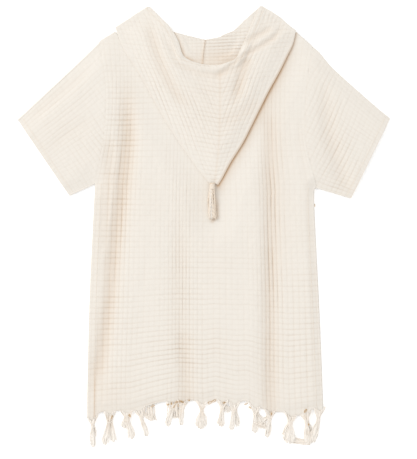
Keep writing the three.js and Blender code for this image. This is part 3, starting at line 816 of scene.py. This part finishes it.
def front_panel():
    xy, warp, weft = body_grid(2, 2, NECK_DEPTH_FRONT, 0.5, 1, 31)
    x, y = axes(xy)
    lines, puff, run = body_relief(x, y, warp, weft, 0 * x, 40)
    z = 0.15 + RELIEF["front"] * lines + 0.15 * (puff + 0.22)
    part = patch(xy, z, SHADE_SHARE * lines, run, turned=True)
    part = bordered(part, ["left", "right", "bottom", "top"], -1.3)
    return cloth("front", [part], GAUZE)


# ---- Sleeves ----
SLEEVE_LINES = 26  # crinkle lines that run out along the sleeve
SLEEVE_RINGS = 17
SLEEVE_STEPS = 5  # mesh columns in one line
SLEEVE_TURN = 3.0  # radius of the fold along the overarm
CUFF_MIDDLE = 2.2
CUFF_RINGS = [(0.4, 0.5), (2.5, 1.0), (9, 1.0)]  # how far in the cuff's edge turns, and its share of the wall
RING_PITCH = 7.6  # between two of the lines that follow the cuff


def beyond(xy, start, end):
    """Distance of points from a straight line, with a sign for the side they are on."""
    dx = end[0] - start[0]
    dy = end[1] - start[1]
    return ((xy[..., 0] - start[0]) * dy - (xy[..., 1] - start[1]) * dx) / math.hypot(dx, dy)


def sleeve(side):
    out = -1 if side == "left" else 1
    across = SLEEVE_LINES * SLEEVE_STEPS
    along = SLEEVE_RINGS * SLEEVE_STEPS
    armhole = by_length(ARMHOLE[side])
    overarm = by_length(OVERARM[side])
    underarm = by_length(UNDERARM[side])
    cuff = by_length([UNDERARM[side][-1], OVERARM[side][-1]])
    u = np.linspace(0, 1, across + 1)
    s = np.linspace(0, 1, along + 1)
    u, s = np.meshgrid(u, s)
    wander = off_edges(u, s, 9)
    seed = 50 if side == "left" else 60
    u_line = u + wander * 0.012 * drift(u * 200, s * 140, (60, 40), seed)
    s_line = s + wander * 0.012 * drift(u * 200, s * 140, (40, 50), seed + 1)

    def place(u_at, s_at):
        p = coons(armhole, cuff, underarm, overarm, u_at, s_at)
        return p + np.array([out * SEAM / 2, 0])
    xy = place(u_line, s_line)
    edge = place(np.ones_like(s[:, :1]), s[:, :1])
    inner = place(np.zeros_like(s[:, :1]), s[:, :1])
    inward = unit(inner - edge)
    reach = np.sum((xy - edge) * inward, -1, keepdims=True)
    xy = xy + inward * np.maximum(0, SLEEVE_TURN - reach) * smooth(u, 0.6, 1)[..., None]
    x, y = axes(xy)
    rib = u * SLEEVE_LINES + 0.5
    from_cuff = np.abs(beyond(xy, UNDERARM[side][-1], OVERARM[side][-1]))
    ring = from_cuff / RING_PITCH + 0.3 * drift(x, y, (50, 40), seed + 6) + 0.5
    top, deep = upper_top(x, y)
    rib_depth = uneven(x, y, rib, s * 140, zones(x, y, 0.14, SLEEVE_ALONG[side]), seed + 2)
    ring_depth = uneven(x, y, ring, u * 200, zones(x, y, 0.13, SLEEVE_ACROSS[side]), seed + 3)
    lines, run = crinkle([rib, ring], [rib_depth, ring_depth])
    puff = 0.2 * drift(x, y, (5, 6), seed + 4)
    seam_d, _ = to_chain(x, y, ARMHOLE[side])
    seam = bell(seam_d, 2.2)
    upper = top + puff - RELIEF["sleeve"] * lines - 0.15 * seam
    # Painted shade in the crinkle lines and folds, and a darker armhole seam
    shade_and_tone = SHADE_SHARE * (0.6 * lines + 0.5 * deep + 0.15 * seam)
    STITCHED[f"{side}_cuff"] = inset(xy, upper, "top", CUFF_INSET)[3:-3]
    lower = 0.2 + 0.5 * lines
    turn_z = upper[:, -1:]
    low_z = lower[:, -1:]
    middle = (turn_z + low_z) / 2
    phis = np.linspace(-math.pi / 2, math.pi / 2, 9)[1:-1]
    at_edge = xy[:, -1:]
    ring_xy = at_edge - inward * SLEEVE_TURN * np.cos(phis)[None, :, None]
    ring_z = middle + (turn_z - low_z) / 2 * np.sin(phis)[None, :]
    edge_run = {key: np.repeat(run[key][:, -1:], len(phis), 1) for key in run}
    part = laid_side_by_side([
        patch(xy, lower, 0, run, turned=side == "left"),
        patch(ring_xy, ring_z, 0, edge_run),
        cut(patch(xy, upper, shade_and_tone, run), columns=slice(None, None, -1)),
    ], 1)
    part = cuff_turned_in(part)
    return cloth(f"{side}_sleeve", [seam_tucked_in(part, out)], GAUZE)


def seam_tucked_in(part, out):
    """The sleeve's edge runs a little way under the body's, so that the seam is closed."""
    first = part["points"][:1].copy()
    first[..., 0] -= out * 1.6
    first[..., 2] += np.where(first[..., 2] > 2, -0.35, 0.3)
    return laid_side_by_side([{**cut(part, slice(0, 1)), "points": first}, part], 0)


def cuff_turned_in(part):
    """The cuff's edge turns into the sleeve by the cloth's thickness."""
    points = part["points"]
    points[-2] = lerp(points[-1], points[-2], 0.2)  # a row close to the edge keeps the edge crisp
    last = points[-1:].copy()
    inside = np.clip(last[..., 2] - CUFF_MIDDLE, -WALL, WALL)
    rings = []
    for back, share in CUFF_RINGS:
        ring = last.copy()
        ring[..., 2] -= inside * share * 0.9
        ring[..., :2] += (points[-12:-11] - last)[..., :2] * back / 18  # that row is about 18 mm in
        rings.append({**cut(part, slice(-1, None)), "points": ring})
    return laid_side_by_side([part, *rings], 0)


# ---- Hood ----
HOOD_ROWS = {"neck": 200, "crown": 180}
HOOD_COLUMNS = 116
HOOD_PITCH = {"left": 6.0, "right": 6.6, "across": 7.0, "rim": 6.4, "throat": 5.4}
HALF_LEVEL = {"left": -1.4, "right": 0.9}  # the crown's two halves, against the nape
NAPE_SUNK = {"left": 0.8, "right": 0.2}  # how far their outer edges lie below it
TIP_LEVEL = 4.2
EDGE_SHADE = {"left": 0.05, "right": 0.26}
SEAM_ACROSS = ([366, 410, 446, 484], [14.4, 20, 22.4, 23.2])  # the crown seam's x at these heights


def hood_rim_line():
    left = CROWN_IN["left"][: ROW_FOREHEAD + 1]
    right = CROWN_IN["right"][:ROW_FOREHEAD]
    return left + right[::-1]


def crown_relief(x, y, side, seed):
    """Crinkle of the crown: along the rim, across the seam, and down the half."""
    rim, _ = to_chain(x, y, hood_rim_line())
    off = np.abs(x - np.interp(y, *SEAM_ACROSS))
    edge, _ = to_chain(x, y, CROWN_EDGE[side])
    bend = 1.5 * drift(x, y, (40, 40), 80)
    near_rim = bell(np.maximum(rim - 14, 0), 22)
    if side == "right":
        rim_part = 0.5 * near_rim * smooth(x, 30, 70)
        steep = zones(x, y, 0.36, [(56, 520, 26, 50, 0.4), (80, 480, 24, 40, 0.2)])
        steep_phase = (x * 0.94 - y * 0.34 + bend) / HOOD_PITCH[side]
    else:
        rim_part = 0.12 * near_rim
        steep = zones(x, y, 0.3, [(-70, 540, 24, 60, 0.5), (-30, 470, 30, 50, 0.5)])
        steep_phase = (x * 0.93 + y * 0.36 + bend) / HOOD_PITCH[side]
    across = 0.3 + 0.42 * bell(off, 30) * smooth(rim, 10, 30)
    quiet = smooth(edge, 0, 8)
    across_phase = (y - 0.16 * off + bend) / HOOD_PITCH["across"]
    rim_phase = (rim + bend) / HOOD_PITCH["rim"]
    lines, run = crinkle([steep_phase, across_phase, rim_phase], [
        uneven(x, y, steep_phase, y, steep * quiet * smooth(off, 0, 6), seed + 3),
        uneven(x, y, across_phase, x, across * quiet, 82),
        uneven(x, y, rim_phase, x + y, rim_part * quiet, seed + 1),
    ])
    return lines, 0.24 * drift(x, y, (4, 4.5), 84), run


def crown_top(x, y):
    """Top of the crown. Both halves take it from here, so that they meet at the seam."""
    past = y - neck_y(x, NECK_DEPTH_BACK)
    sunk = smooth(past, HOOD_REST_FROM, HOOD_REST_FROM + HOOD_REST)
    deep, high = fold_depth(x, y, HOOD_FOLDS)
    slow = drift(x, y, (50, 60), 71)
    tip = smooth(y, 366, 440)
    from_left = to_chain(x, y, CROWN_EDGE["left"])[0]
    from_right = to_chain(x, y, CROWN_EDGE["right"])[0]
    seam_x = np.interp(y, *SEAM_ACROSS)
    to_right = smooth(x - seam_x, -24, 24)
    swell = smooth(from_left, 0, 50) * smooth(from_right, -3, 32)
    puff = HOOD_LOFT * swell * (0.45 + 0.55 * tip) * (1 + 0.22 * slow + 0.5 * high - 0.75 * deep)
    rest = lerp(NAPE_LEVEL + lerp(HALF_LEVEL["left"], HALF_LEVEL["right"], to_right), TIP_LEVEL, sunk)
    rim, _ = to_chain(x, y, hood_rim_line())
    bottom = 1 - 0.85 * smooth(y, 578, 606)
    roll = bottom * RIM_HEIGHT * np.sin(math.pi * np.clip(rim / RIM_WIDTH, 0, 1)) ** 0.8
    trough = bottom * 0.8 * bell(rim - RIM_WIDTH - 3, 5)
    ease = smooth(np.minimum(from_left, from_right), 0, 26)
    seam = bell(x - seam_x, 2) * smooth(rim, 2, 12)
    z = rest + WALL + puff + ease * (roll - trough) - 0.12 * seam
    # Painted shade in the folds, in the trough below the rim and in a zone in the middle, and a darker seam
    middle = zones(x, y, 0, [(14, 505, 46, 60, 0.2)])
    return z, SHADE_SHARE * (0.8 * deep + 0.5 * seam + 0.3 * trough * ease + middle), rim


def hood_half(side):
    sign = -1 if side == "left" else 1
    edges = CROWN_EDGE[side]
    ins = CROWN_IN[side]
    v = np.concatenate([
        np.linspace(0, ROW_NECK, HOOD_ROWS["neck"] + 1),
        np.linspace(ROW_NECK, ROW_TIP, HOOD_ROWS["crown"] + 1)[1:],
    ])[:, None]

    def two_part(points, split):
        first = through(points[: split + 1], np.minimum(v, split))
        second = through(points[split:], np.maximum(v - split, 0))
        return np.where((v <= split)[..., None], first, second)
    edge = two_part(edges, ROW_NECK)
    inner = two_part(ins, ROW_FOREHEAD)
    length = np.linalg.norm(inner - edge, axis=-1, keepdims=True)
    inward = (inner - edge) / length
    turn = np.minimum(HOOD_TURN, 0.42 * length[..., 0])
    seed = 80 if side == "left" else 90
    u = np.linspace(0, 1, HOOD_COLUMNS + 1)[None, :]
    reach = lerp(turn, length[..., 0] + 0 * u, u)
    xy = edge + inward * reach[..., None]
    x, y = axes(xy)
    top, shade_and_tone, rim = crown_top(x, y)
    lines, puff, run = crown_relief(x, y, side, seed)
    at_rim = 1 - smooth(v, ROW_FOREHEAD - 0.15, ROW_FOREHEAD + 0.1)
    z = top + (puff - RELIEF["hood"] * lines) * lerp(1, smooth(rim, 2, RIM_WIDTH), at_rim * 0.5)
    # Painted shade in the crown's crinkle lines too
    shade_and_tone = shade_and_tone + 0.6 * SHADE_SHARE * lines
    along_rim = int(np.sum(v < ROW_FOREHEAD - 0.1))
    STITCHED[f"{side}_rim"] = inset(xy, z, "right", RIM_INSET)[12:along_rim]
    low = lerp(THROAT_LEVEL, NAPE_LEVEL - NAPE_SUNK[side], smooth(v, ROW_NECK - 0.5, ROW_NECK + 0.3))
    phis = np.linspace(-math.pi / 2, math.pi / 2, 11)[None, 1:-1]
    middle = (z[:, :1] + low) / 2
    turn_xy = edge + inward * (turn * (1 - np.cos(phis)))[..., None]
    turn_z = middle + (z[:, :1] - low) / 2 * np.sin(phis)
    edge_under = edge + inward * turn[..., None]
    # The roll closes under itself along the rim; along the crown seam the edge turns straight down.
    tangent = unit(np.gradient(inner[:, 0], axis=0))
    outward = sign * np.stack([tangent[:, 1], -tangent[:, 0]], -1)[:, None]
    under_xy = []
    under_z = []
    for k in range(1, 6):
        phi = math.pi * 0.75 * k / 5
        bulge = RIM_TURN * (np.sin(phi) * 0.55 - 0.75 * max(0, phi - math.pi / 2))
        under_xy.append(inner + outward * lerp(0.36 * k, bulge, at_rim)[..., None])
        under_z.append(z[:, -1:] - lerp(0.09 * k, 2.1 * (1 - math.cos(phi)), at_rim))
    turned = side == "left"
    crown = laid_side_by_side([
        patch(
            np.concatenate([edge_under, turn_xy], 1), np.concatenate([low, turn_z], 1),
            EDGE_SHADE[side] * smooth(v, ROW_NECK, ROW_NECK + 2), turned=turned,
        ),
        patch(xy, z, shade_and_tone, run),
        patch(np.concatenate(under_xy, 1), np.concatenate(under_z, 1), np.repeat(shade_and_tone[:, -1:], 5, 1)),
    ], 1)
    patches = [crown, *under_layers(side, sign, v, edge_under, low)]
    return cloth(f"{side}_hood", patches, GAUZE)


def bent_line(start, final, u, sign, depth, bend):
    """A row from the outer edge inward that takes a share of the neck's curve."""
    p = lerp(start, final, u[..., None])
    x = lerp(sign * NECK_HALF, final[..., 0], u)
    curve = neck_y(x, depth) - lerp(NECK_Y, final[..., 1], u)
    p[..., 1] += bend * curve * smooth(u, 0, 0.1)
    return p


def under_layers(side, sign, v, start, low):
    """The throat, below the opening, and the nape, on the back panel."""
    neck_row = HOOD_ROWS["neck"]
    vt = v[: neck_row + 1]
    rim_curve = by_length(THROAT_RIM[side])
    top = rim_curve(np.minimum(vt / ROW_THROAT_TOP, 1))
    centre = lerp(
        np.array(THROAT_RIM[side][-1], float),
        np.array([0.0, NECK_Y - NECK_DEPTH_FRONT]),
        np.clip(vt - ROW_THROAT_TOP, 0, 1)[..., None],
    )
    final = np.where((vt <= ROW_THROAT_TOP)[..., None], top, centre)
    final[..., 0] -= SEAM_SWAY * np.sin(math.pi * np.clip(vt - ROW_THROAT_TOP, 0, 1))
    u = np.linspace(0, 1, 90)[None, :] + 0 * vt
    bend = smooth(vt, ROW_THROAT_TOP, ROW_NECK)
    throat = bent_line(start[: neck_row + 1], final, u, sign, NECK_DEPTH_FRONT, bend)
    x, y = axes(throat)
    rise = 0.07 * (x - 10) if sign > 0 else 0.02 * x
    sag = 2.0 * drift(x, y, (50, 24), 95)
    phase = (y - rise + sag) / HOOD_PITCH["throat"]
    strong = zones(x, y, 0.15, [(34, 578, 36, 20, 1.3), (60, 600, 30, 14, 0.7), (-20, 570, 16, 20, 0.2)])
    upright = x / 7
    depths = [uneven(x, y, upright, y, 0.2, 98), uneven(x, y, phase, x, strong, 96)]
    lines, run = crinkle([upright, phase], depths)
    lift = smooth(u, 0, 0.12)
    ceiling = crown_top(x, y)[0] - THROAT_CLEAR
    seam_x = -SEAM_SWAY * np.sin(math.pi * np.clip((THROAT_SEAM_TOP - y) / THROAT_SEAM_LENGTH, 0, 1))
    seam = bell(x - seam_x, 1.7)
    rim, _ = to_chain(x, y, hood_rim_line())
    slow = 1.2 * (1 + drift(x, y, (30, 24), 97))
    raised = np.minimum(THROAT_LEVEL + THROAT_RISE + slow + THROAT_TILT * x, ceiling)
    raised = raised - RELIEF["throat"] * lines + 0.9 * seam
    z = low[: neck_row + 1] * (1 - lift) + lift * raised
    shade = SHADE_SHARE * zones(x, y, 0.08, [(40, 564, 44, 14, 1.0), (-20, 560, 24, 8, 0.4)])
    # Painted shadow of the rim on the throat, strongest at the left
    rim_shadow = bell(rim, 4) * lerp(0.02, 0.3, smooth(-x, 14, 30)) * (1 - smooth(y, 604, 622))
    shade_and_tone = (SHADE_SHARE * lines + shade + rim_shadow + 0.26 * seam) * lift
    throat_part = cut(patch(throat, z, shade_and_tone, run, turned=side == "left"), columns=slice(None, None, -1))
    throat_part = bordered(throat_part, ["left"], 1.0)
    vn = v[neck_row:]
    share = (vn - ROW_NECK) / (ROW_TIP - ROW_NECK)
    nape_top = np.array([4.0, NECK_Y - NECK_DEPTH_BACK])
    nape_end = np.array(CROWN_IN[side][-1], float)
    inner = lerp(nape_top, nape_end, share[..., None])
    u = np.linspace(0, 1, 14)[None, :] + 0 * vn
    bend = 1 - smooth(vn, ROW_NECK, ROW_NECK + 3)
    nape = bent_line(start[neck_row:], inner, u, sign, NECK_DEPTH_BACK, bend)
    lift = smooth(u, 0, 0.15)
    z = low[neck_row:] * (1 - lift) + lift * NAPE_LEVEL
    # The nape lies under the crown and takes an even painted shade
    nape_part = patch(nape[:, ::-1], z[:, ::-1], 0.2, turned=side == "left")
    return [throat_part, nape_part]


# ---- Yarns ----
def tubes(paths, radii, up=(0, 0, 1), sides=6, ply=0.2, twist=1.1):
    """Skins of two-ply yarns. paths holds one row of points for each yarn."""
    tangent = unit(np.gradient(paths, axis=1))
    side = unit(np.cross(tangent, np.array(up, float)))
    lift = np.cross(side, tangent)
    step = np.linalg.norm(np.diff(paths, axis=1, prepend=paths[:, :1]), axis=-1)
    run = np.cumsum(step, 1)[..., None]
    angle = np.arange(sides) * 2 * math.pi / sides
    radius = radii[..., None] * (1 + ply * np.cos(2 * angle - twist * run))
    ring = np.cos(angle)[:, None] * side[:, :, None] + np.sin(angle)[:, None] * lift[:, :, None]
    skin = paths[:, :, None] + radius[..., None] * ring
    count, length = paths.shape[:2]
    index = np.arange(count * length * sides).reshape(count, length, sides)
    ahead = np.roll(index, -1, 2)
    quads = np.stack([index[:, :-1], ahead[:, :-1], ahead[:, 1:], index[:, 1:]], -1)
    valley = 0.5 - 0.5 * np.cos(2 * angle - twist * run)
    return skin.reshape(-1, 3), quads.reshape(-1, 4), np.broadcast_to(valley, radius.shape).reshape(-1)


def inset(xy, z, side, distance):
    """The line that runs at a distance inside one edge of a grid."""
    grid = np.concatenate([xy, z[..., None]], -1)
    if side in ("bottom", "top"):
        grid = grid.swapaxes(0, 1)
    if side in ("right", "top"):
        grid = grid[:, ::-1]
    run = np.cumsum(np.linalg.norm(np.diff(grid, axis=1, prepend=grid[:, :1]), axis=-1), 1)
    return np.array([[np.interp(distance, r, g[:, axis]) for axis in range(3)] for r, g in zip(run, grid)])


class Bundle:
    """Gathers yarns into one piece."""

    def __init__(self):
        self.points = []
        self.faces = []
        self.shade_and_tone = []
        self.count = 0

    def add(self, paths, radii, shade=0.0, **options):
        points, faces, valley = tubes(paths, radii, **options)
        self.points.append(points)
        self.faces.append(faces + self.count)
        shade = np.repeat(np.broadcast_to(shade, radii.shape), len(valley) // radii.size)
        # Painted shade in the valleys between the plies, on top of each yarn's given shade
        self.shade_and_tone.append(np.clip(0.1 * valley + shade, 0, 1))
        self.count += len(points)

    def make(self, name):
        floats = {"shade_and_tone": np.concatenate(self.shade_and_tone)}
        points = np.concatenate(self.points)
        faces = np.concatenate(self.faces).tolist()
        return make_object(name, points, faces, floats, YARN)


YARN_POINTS = 16
YARN_RADIUS = 0.8
BINDING_RADIUS = 0.6
STRAY_RADIUS = 0.76
LOOP_RADIUS = 0.5
STITCH_RADIUS = 0.3
WRAP_RADIUS = 0.85
YARN_LEVEL = 0.97  # the lowest that a yarn's middle may lie
NECK_AT = 0.3  # how far down a tassel is tied, as a share of its length
NECK_LEAN = 0.25  # and how much of its slant it has there
GATHERED = 0.32  # how close the neck is drawn together
BINDING_TURNS = 2.2
BINDING_PITCH = 0.6
WRAP_TURNS = 6.5
STITCH_HEIGHT = 0.35
LOOP_LEVELS = {"hem": 6.3, "side": 4.4}
TASSEL_BED = 4.6
# Yarns for each mm of a tassel's width, extra ones, least, most, levels at hem and tip, seed
FRINGES = {
    "upper_fringe": (1.5, 9, 14, 34, (4.6, 4.9), 200),
    "lower_fringe": (1.2, 6, 12, 26, (2.2, 2.7), 300),
}


def tassel_yarns(bundle, root_x, tip, neck, flare, levels, count, seed):
    """One tassel: yarns come off the hem on both sides, meet at the neck and fall apart to the tip."""
    rng = np.random.default_rng(seed)
    t = np.linspace(0, 1, YARN_POINTS)[None, :]
    k = rng.permutation(np.linspace(-1, 1, count))[:, None]
    layer = rng.uniform(-1, 1, (count, 1))
    root_half = neck / 2 + 6
    hem_x = root_x + k * root_half
    hem_y = hem_height(hem_x) + hem_pull(hem_x) + 0.8
    centre_x = lerp(root_x, tip[0], NECK_LEAN)
    neck_x = centre_x + k * neck * GATHERED
    mean_hem = float(np.mean(hem_y))
    neck_y_at = lerp(mean_hem, tip[1], NECK_AT)
    end_x = tip[0] + k * flare / 2 + rng.normal(0, 0.8, (count, 1))
    end_y = tip[1] + np.abs(rng.normal(0, 2.2, (count, 1))) * (0.4 + np.abs(k)) + 0.3 * flare * k**2
    first = smooth(t, 0, NECK_AT)
    second = smooth(t, NECK_AT, 1) ** 0.8
    x = lerp(hem_x, neck_x, first) + (end_x - neck_x) * second
    y = np.where(
        t < NECK_AT, lerp(hem_y, neck_y_at, t / NECK_AT),
        lerp(neck_y_at, end_y, (t - NECK_AT) / (1 - NECK_AT)),
    )
    wave = rng.uniform(0, 6.3, (count, 1))
    bow = rng.normal(0, 1.1, (count, 1)) * np.sin(math.pi * smooth(t, 0.3, 1))
    x = x + bow + 0.5 * smooth(t, 0.35, 1) * np.sin(7 * t + wave)
    pinch = bell(t - NECK_AT, 0.2)
    height = lerp(*levels, smooth(t, 0, 0.7))
    z = height + layer * (0.9 + 0.9 * pinch) + 0.3 * np.sin(5 * t + wave)
    z = np.maximum(z, YARN_LEVEL)
    radius = np.full(x.shape, YARN_RADIUS) * (1 - 0.75 * smooth(t, 0.93, 1.0))
    # A random tone, and painted shade where the neck gathers the yarns
    tone = 0.16 * np.clip(drift(x, y, (9, 12), 13) - 0.2, 0, 1) + 0.1 * pinch
    bundle.add(np.stack([x, y, z], -1), radius, shade=tone)
    # The neck's binding: two turns round the gathered yarns.
    turn = np.linspace(0, 2 * math.pi * BINDING_TURNS, 34)[None, :]
    bind_y = neck_y_at + BINDING_PITCH * (turn / (2 * math.pi) - BINDING_TURNS / 2)
    middle = lerp(*levels, 0.45)
    rx = neck * GATHERED + 0.9
    rz = 2.0
    loop = np.stack([
        centre_x + rx * np.cos(turn),
        bind_y + 0 * turn,
        np.maximum(middle + rz * np.sin(turn), 0.7),
    ], -1)
    bundle.add(loop, np.full(turn.shape, BINDING_RADIUS), shade=0.08, up=(0, 1, 0))


def strays(bundle):
    rng = np.random.default_rng(7)
    for count, spread, line in STRAY_YARNS:
        t = np.linspace(0, len(line) - 1, YARN_POINTS)
        middle = through(line, t)
        apart = rng.normal(0, 1, (count, 1, 3)) * np.array([*spread, 0.7])
        wave = rng.uniform(0, 6.3, (count, 1, 3))
        paths = middle[None] + apart + 0.5 * np.sin(t[None, :, None] * 2.4 + wave)
        paths[..., 2] = np.maximum(paths[..., 2], YARN_LEVEL)
        bundle.add(paths, np.full((count, YARN_POINTS), STRAY_RADIUS), shade=0.08)


def stitching(name, keys):
    """Short stitches along the sewn lines. Each dips into the cloth at its ends."""
    bundle = Bundle()
    t = np.linspace(0, 1, 5)
    for key in keys:
        line = STITCHED[key]
        run = np.concatenate([[0], np.cumsum(np.linalg.norm(np.diff(line, axis=0), axis=-1))])
        starts = np.arange(0, run[-1] - STITCH, STITCH + STITCH_GAP)
        at = starts[:, None] + STITCH * t
        paths = np.stack([np.interp(at, run, line[:, axis]) for axis in range(3)], -1)
        paths[..., 2] += STITCH_HEIGHT * np.sin(math.pi * t) - 0.05
        bundle.add(paths, np.full(at.shape, STITCH_RADIUS), shade=0.2)
    return bundle.make(name)


def hem_loops(bundle):
    """Small loops of thread, drawn in dark tan, where a tassel is tied through the hem."""
    a = np.linspace(0, 2 * math.pi, 15)[None, :]
    for x, y, width, tilt in [*HEM_LOOPS, SIDE_LOOP]:
        along = width / 2 * np.cos(a)
        across = width / 5 * np.sin(a)
        px = x + along * math.cos(tilt) - across * math.sin(tilt)
        py = y + along * math.sin(tilt) + across * math.cos(tilt)
        pz = LOOP_LEVELS["hem" if y < 100 else "side"] + 0.5 * np.sin(2 * a)
        bundle.add(np.stack([px, py, pz], -1), np.full(a.shape, LOOP_RADIUS), shade=0.75)


def hem_fringe(name):
    upper = name == "upper_fringe"
    by_width, extra, least, most, levels, seed = FRINGES[name]
    bundle = Bundle()
    for i, (root_x, tip_x, tip_y, neck, flare, *lower) in enumerate(TASSELS):
        x, y, width = (tip_x, tip_y, flare) if upper else lower
        count = int(np.clip(round(max(neck, width) * by_width) + extra, least, most))
        tassel_yarns(bundle, root_x, (x, y), neck, width, levels, count, seed + i)
    if upper:
        strays(bundle)
        hem_loops(bundle)
    return bundle.make(name)


def hood_tassel():
    t = TIP_TASSEL
    rng = np.random.default_rng(5)
    bundle = Bundle()
    s = np.linspace(0, 1, 26)[None, :]
    for layer, (count, thick, shade) in enumerate(TASSEL_LAYERS):
        k = np.linspace(-1, 1, count)[:, None] * (1 - 0.08 * layer)
        k = k + rng.normal(0, 0.05, (count, 1))
        x0 = t["x"] + k * (t["head_width"] / 2 - 2.2)
        x1 = t["x"] + t["lean"] + k * (t["spread"] / 2 - thick)
        y0 = t["top"] - t["head"] * 0.4
        y1 = t["top"] - t["length"] + 1.6 * np.abs(rng.normal(0, 1, (count, 1)))
        wave = rng.uniform(0, 6.3, (count, 1))
        x = lerp(x0, x1, smooth(s, 0.05, 0.5)) - 0.9 * np.sin(math.pi * s) + 0.8 * np.sin(5 * s + wave)
        y = lerp(y0, y1, s)
        gathered = (1 - smooth(s, 0, 0.3)) * (1.4 - 0.5 * layer)
        z = TASSEL_BED + 1.3 + layer * 1.7 + gathered + 0.3 * np.sin(5 * s + wave)
        radius = np.full(x.shape, thick) * (1 - 0.6 * smooth(s, 0.94, 1))
        # Each layer's painted shade, a random tone, and more painted shade on the right side, away from the
        # light
        tone = shade + 0.14 * rng.uniform(-1, 1, (count, 1)) + 0.18 * np.maximum(k, 0) + 0 * s
        bundle.add(np.stack([x, y, z], -1), radius, shade=tone, sides=8, ply=0.26, twist=1.0)
    turn = np.linspace(0, 2 * math.pi * WRAP_TURNS, 130)[None, :]
    share = turn / turn.max()
    rx = t["head_width"] / 2 - 1.2 + 0.3 * np.sin(3 * turn)
    rz = t["head_height"] / 2 - 0.6
    wrap = np.stack([
        t["x"] + rx * np.cos(turn),
        t["top"] - 0.8 - share * (t["head"] - 1.2),
        TASSEL_BED + 3.8 + rz * np.sin(turn),
    ], -1)
    bundle.add(wrap, np.full(turn.shape, WRAP_RADIUS), shade=0.2 + 0.2 * (share < 0.15), up=(0, 1, 0))
    return bundle.make("tip_tassel")


# ---- The poncho ----
back = back_panel()
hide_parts("back_panel")
front = front_panel()
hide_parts("front_panel")
sleeves = {side: sleeve(side) for side in ("left", "right")}
hoods = {side: hood_half(side) for side in ("left", "right")}
for side in ("left", "right"):
    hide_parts(f"sleeve_{side}")
    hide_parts(f"hood_{side}")
upper_fringe = hem_fringe("upper_fringe")
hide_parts("fringe_back")
lower_fringe = hem_fringe("lower_fringe")
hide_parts("fringe_front")
tip_tassel = hood_tassel()
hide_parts("hood_tassel")
stitching("body_stitching", ["left_hem", "right_hem"])
for side in ("left", "right"):
    stitching(f"{side}_sleeve_stitching", [f"{side}_cuff"])
    stitching(f"{side}_hood_stitching", [f"{side}_rim"])

# ---- Table, lights and world, in metres and watts ----
TABLE_SIZE = 40
PAPER_GLOW = 0.25
KEY_PLACE = (-3.4, 1.5, 3.1)
KEY_SIZE = 2.8
KEY_POWER = 84
KEY_COLOUR = (1, 0.985, 0.965)
ROOM_LIGHT = 0.91
bpy.ops.mesh.primitive_plane_add(size=TABLE_SIZE)
table_top = bpy.context.object
table_top.name = "table_top"
paper = bpy.data.materials.new("paper")
paper.use_nodes = True
for key, value in {
    "Base Color": (0.97, 0.97, 0.97, 1),
    "Roughness": 1.0,
    "Emission Color": (1, 1, 1, 1),
    "Emission Strength": PAPER_GLOW,
    "Specular IOR Level": 0.0,
}.items():
    paper.node_tree.nodes["Principled BSDF"].inputs[key].default_value = value
table_top.data.materials.append(paper)

lamp = bpy.data.lights.new("key", "AREA")
lamp.size = KEY_SIZE
lamp.energy = KEY_POWER
lamp.color = KEY_COLOUR
light = bpy.data.objects.new("key", lamp)
light.location = KEY_PLACE
light.rotation_euler = (-light.location).to_track_quat("-Z", "Y").to_euler()
bpy.context.scene.collection.objects.link(light)
world = bpy.data.worlds.new("studio")
world.use_nodes = True
world.node_tree.nodes["Background"].inputs["Color"].default_value = (1, 1, 1, 1)
world.node_tree.nodes["Background"].inputs["Strength"].default_value = ROOM_LIGHT
bpy.context.scene.world = world
bpy.context.scene.view_settings.view_transform = "Standard"
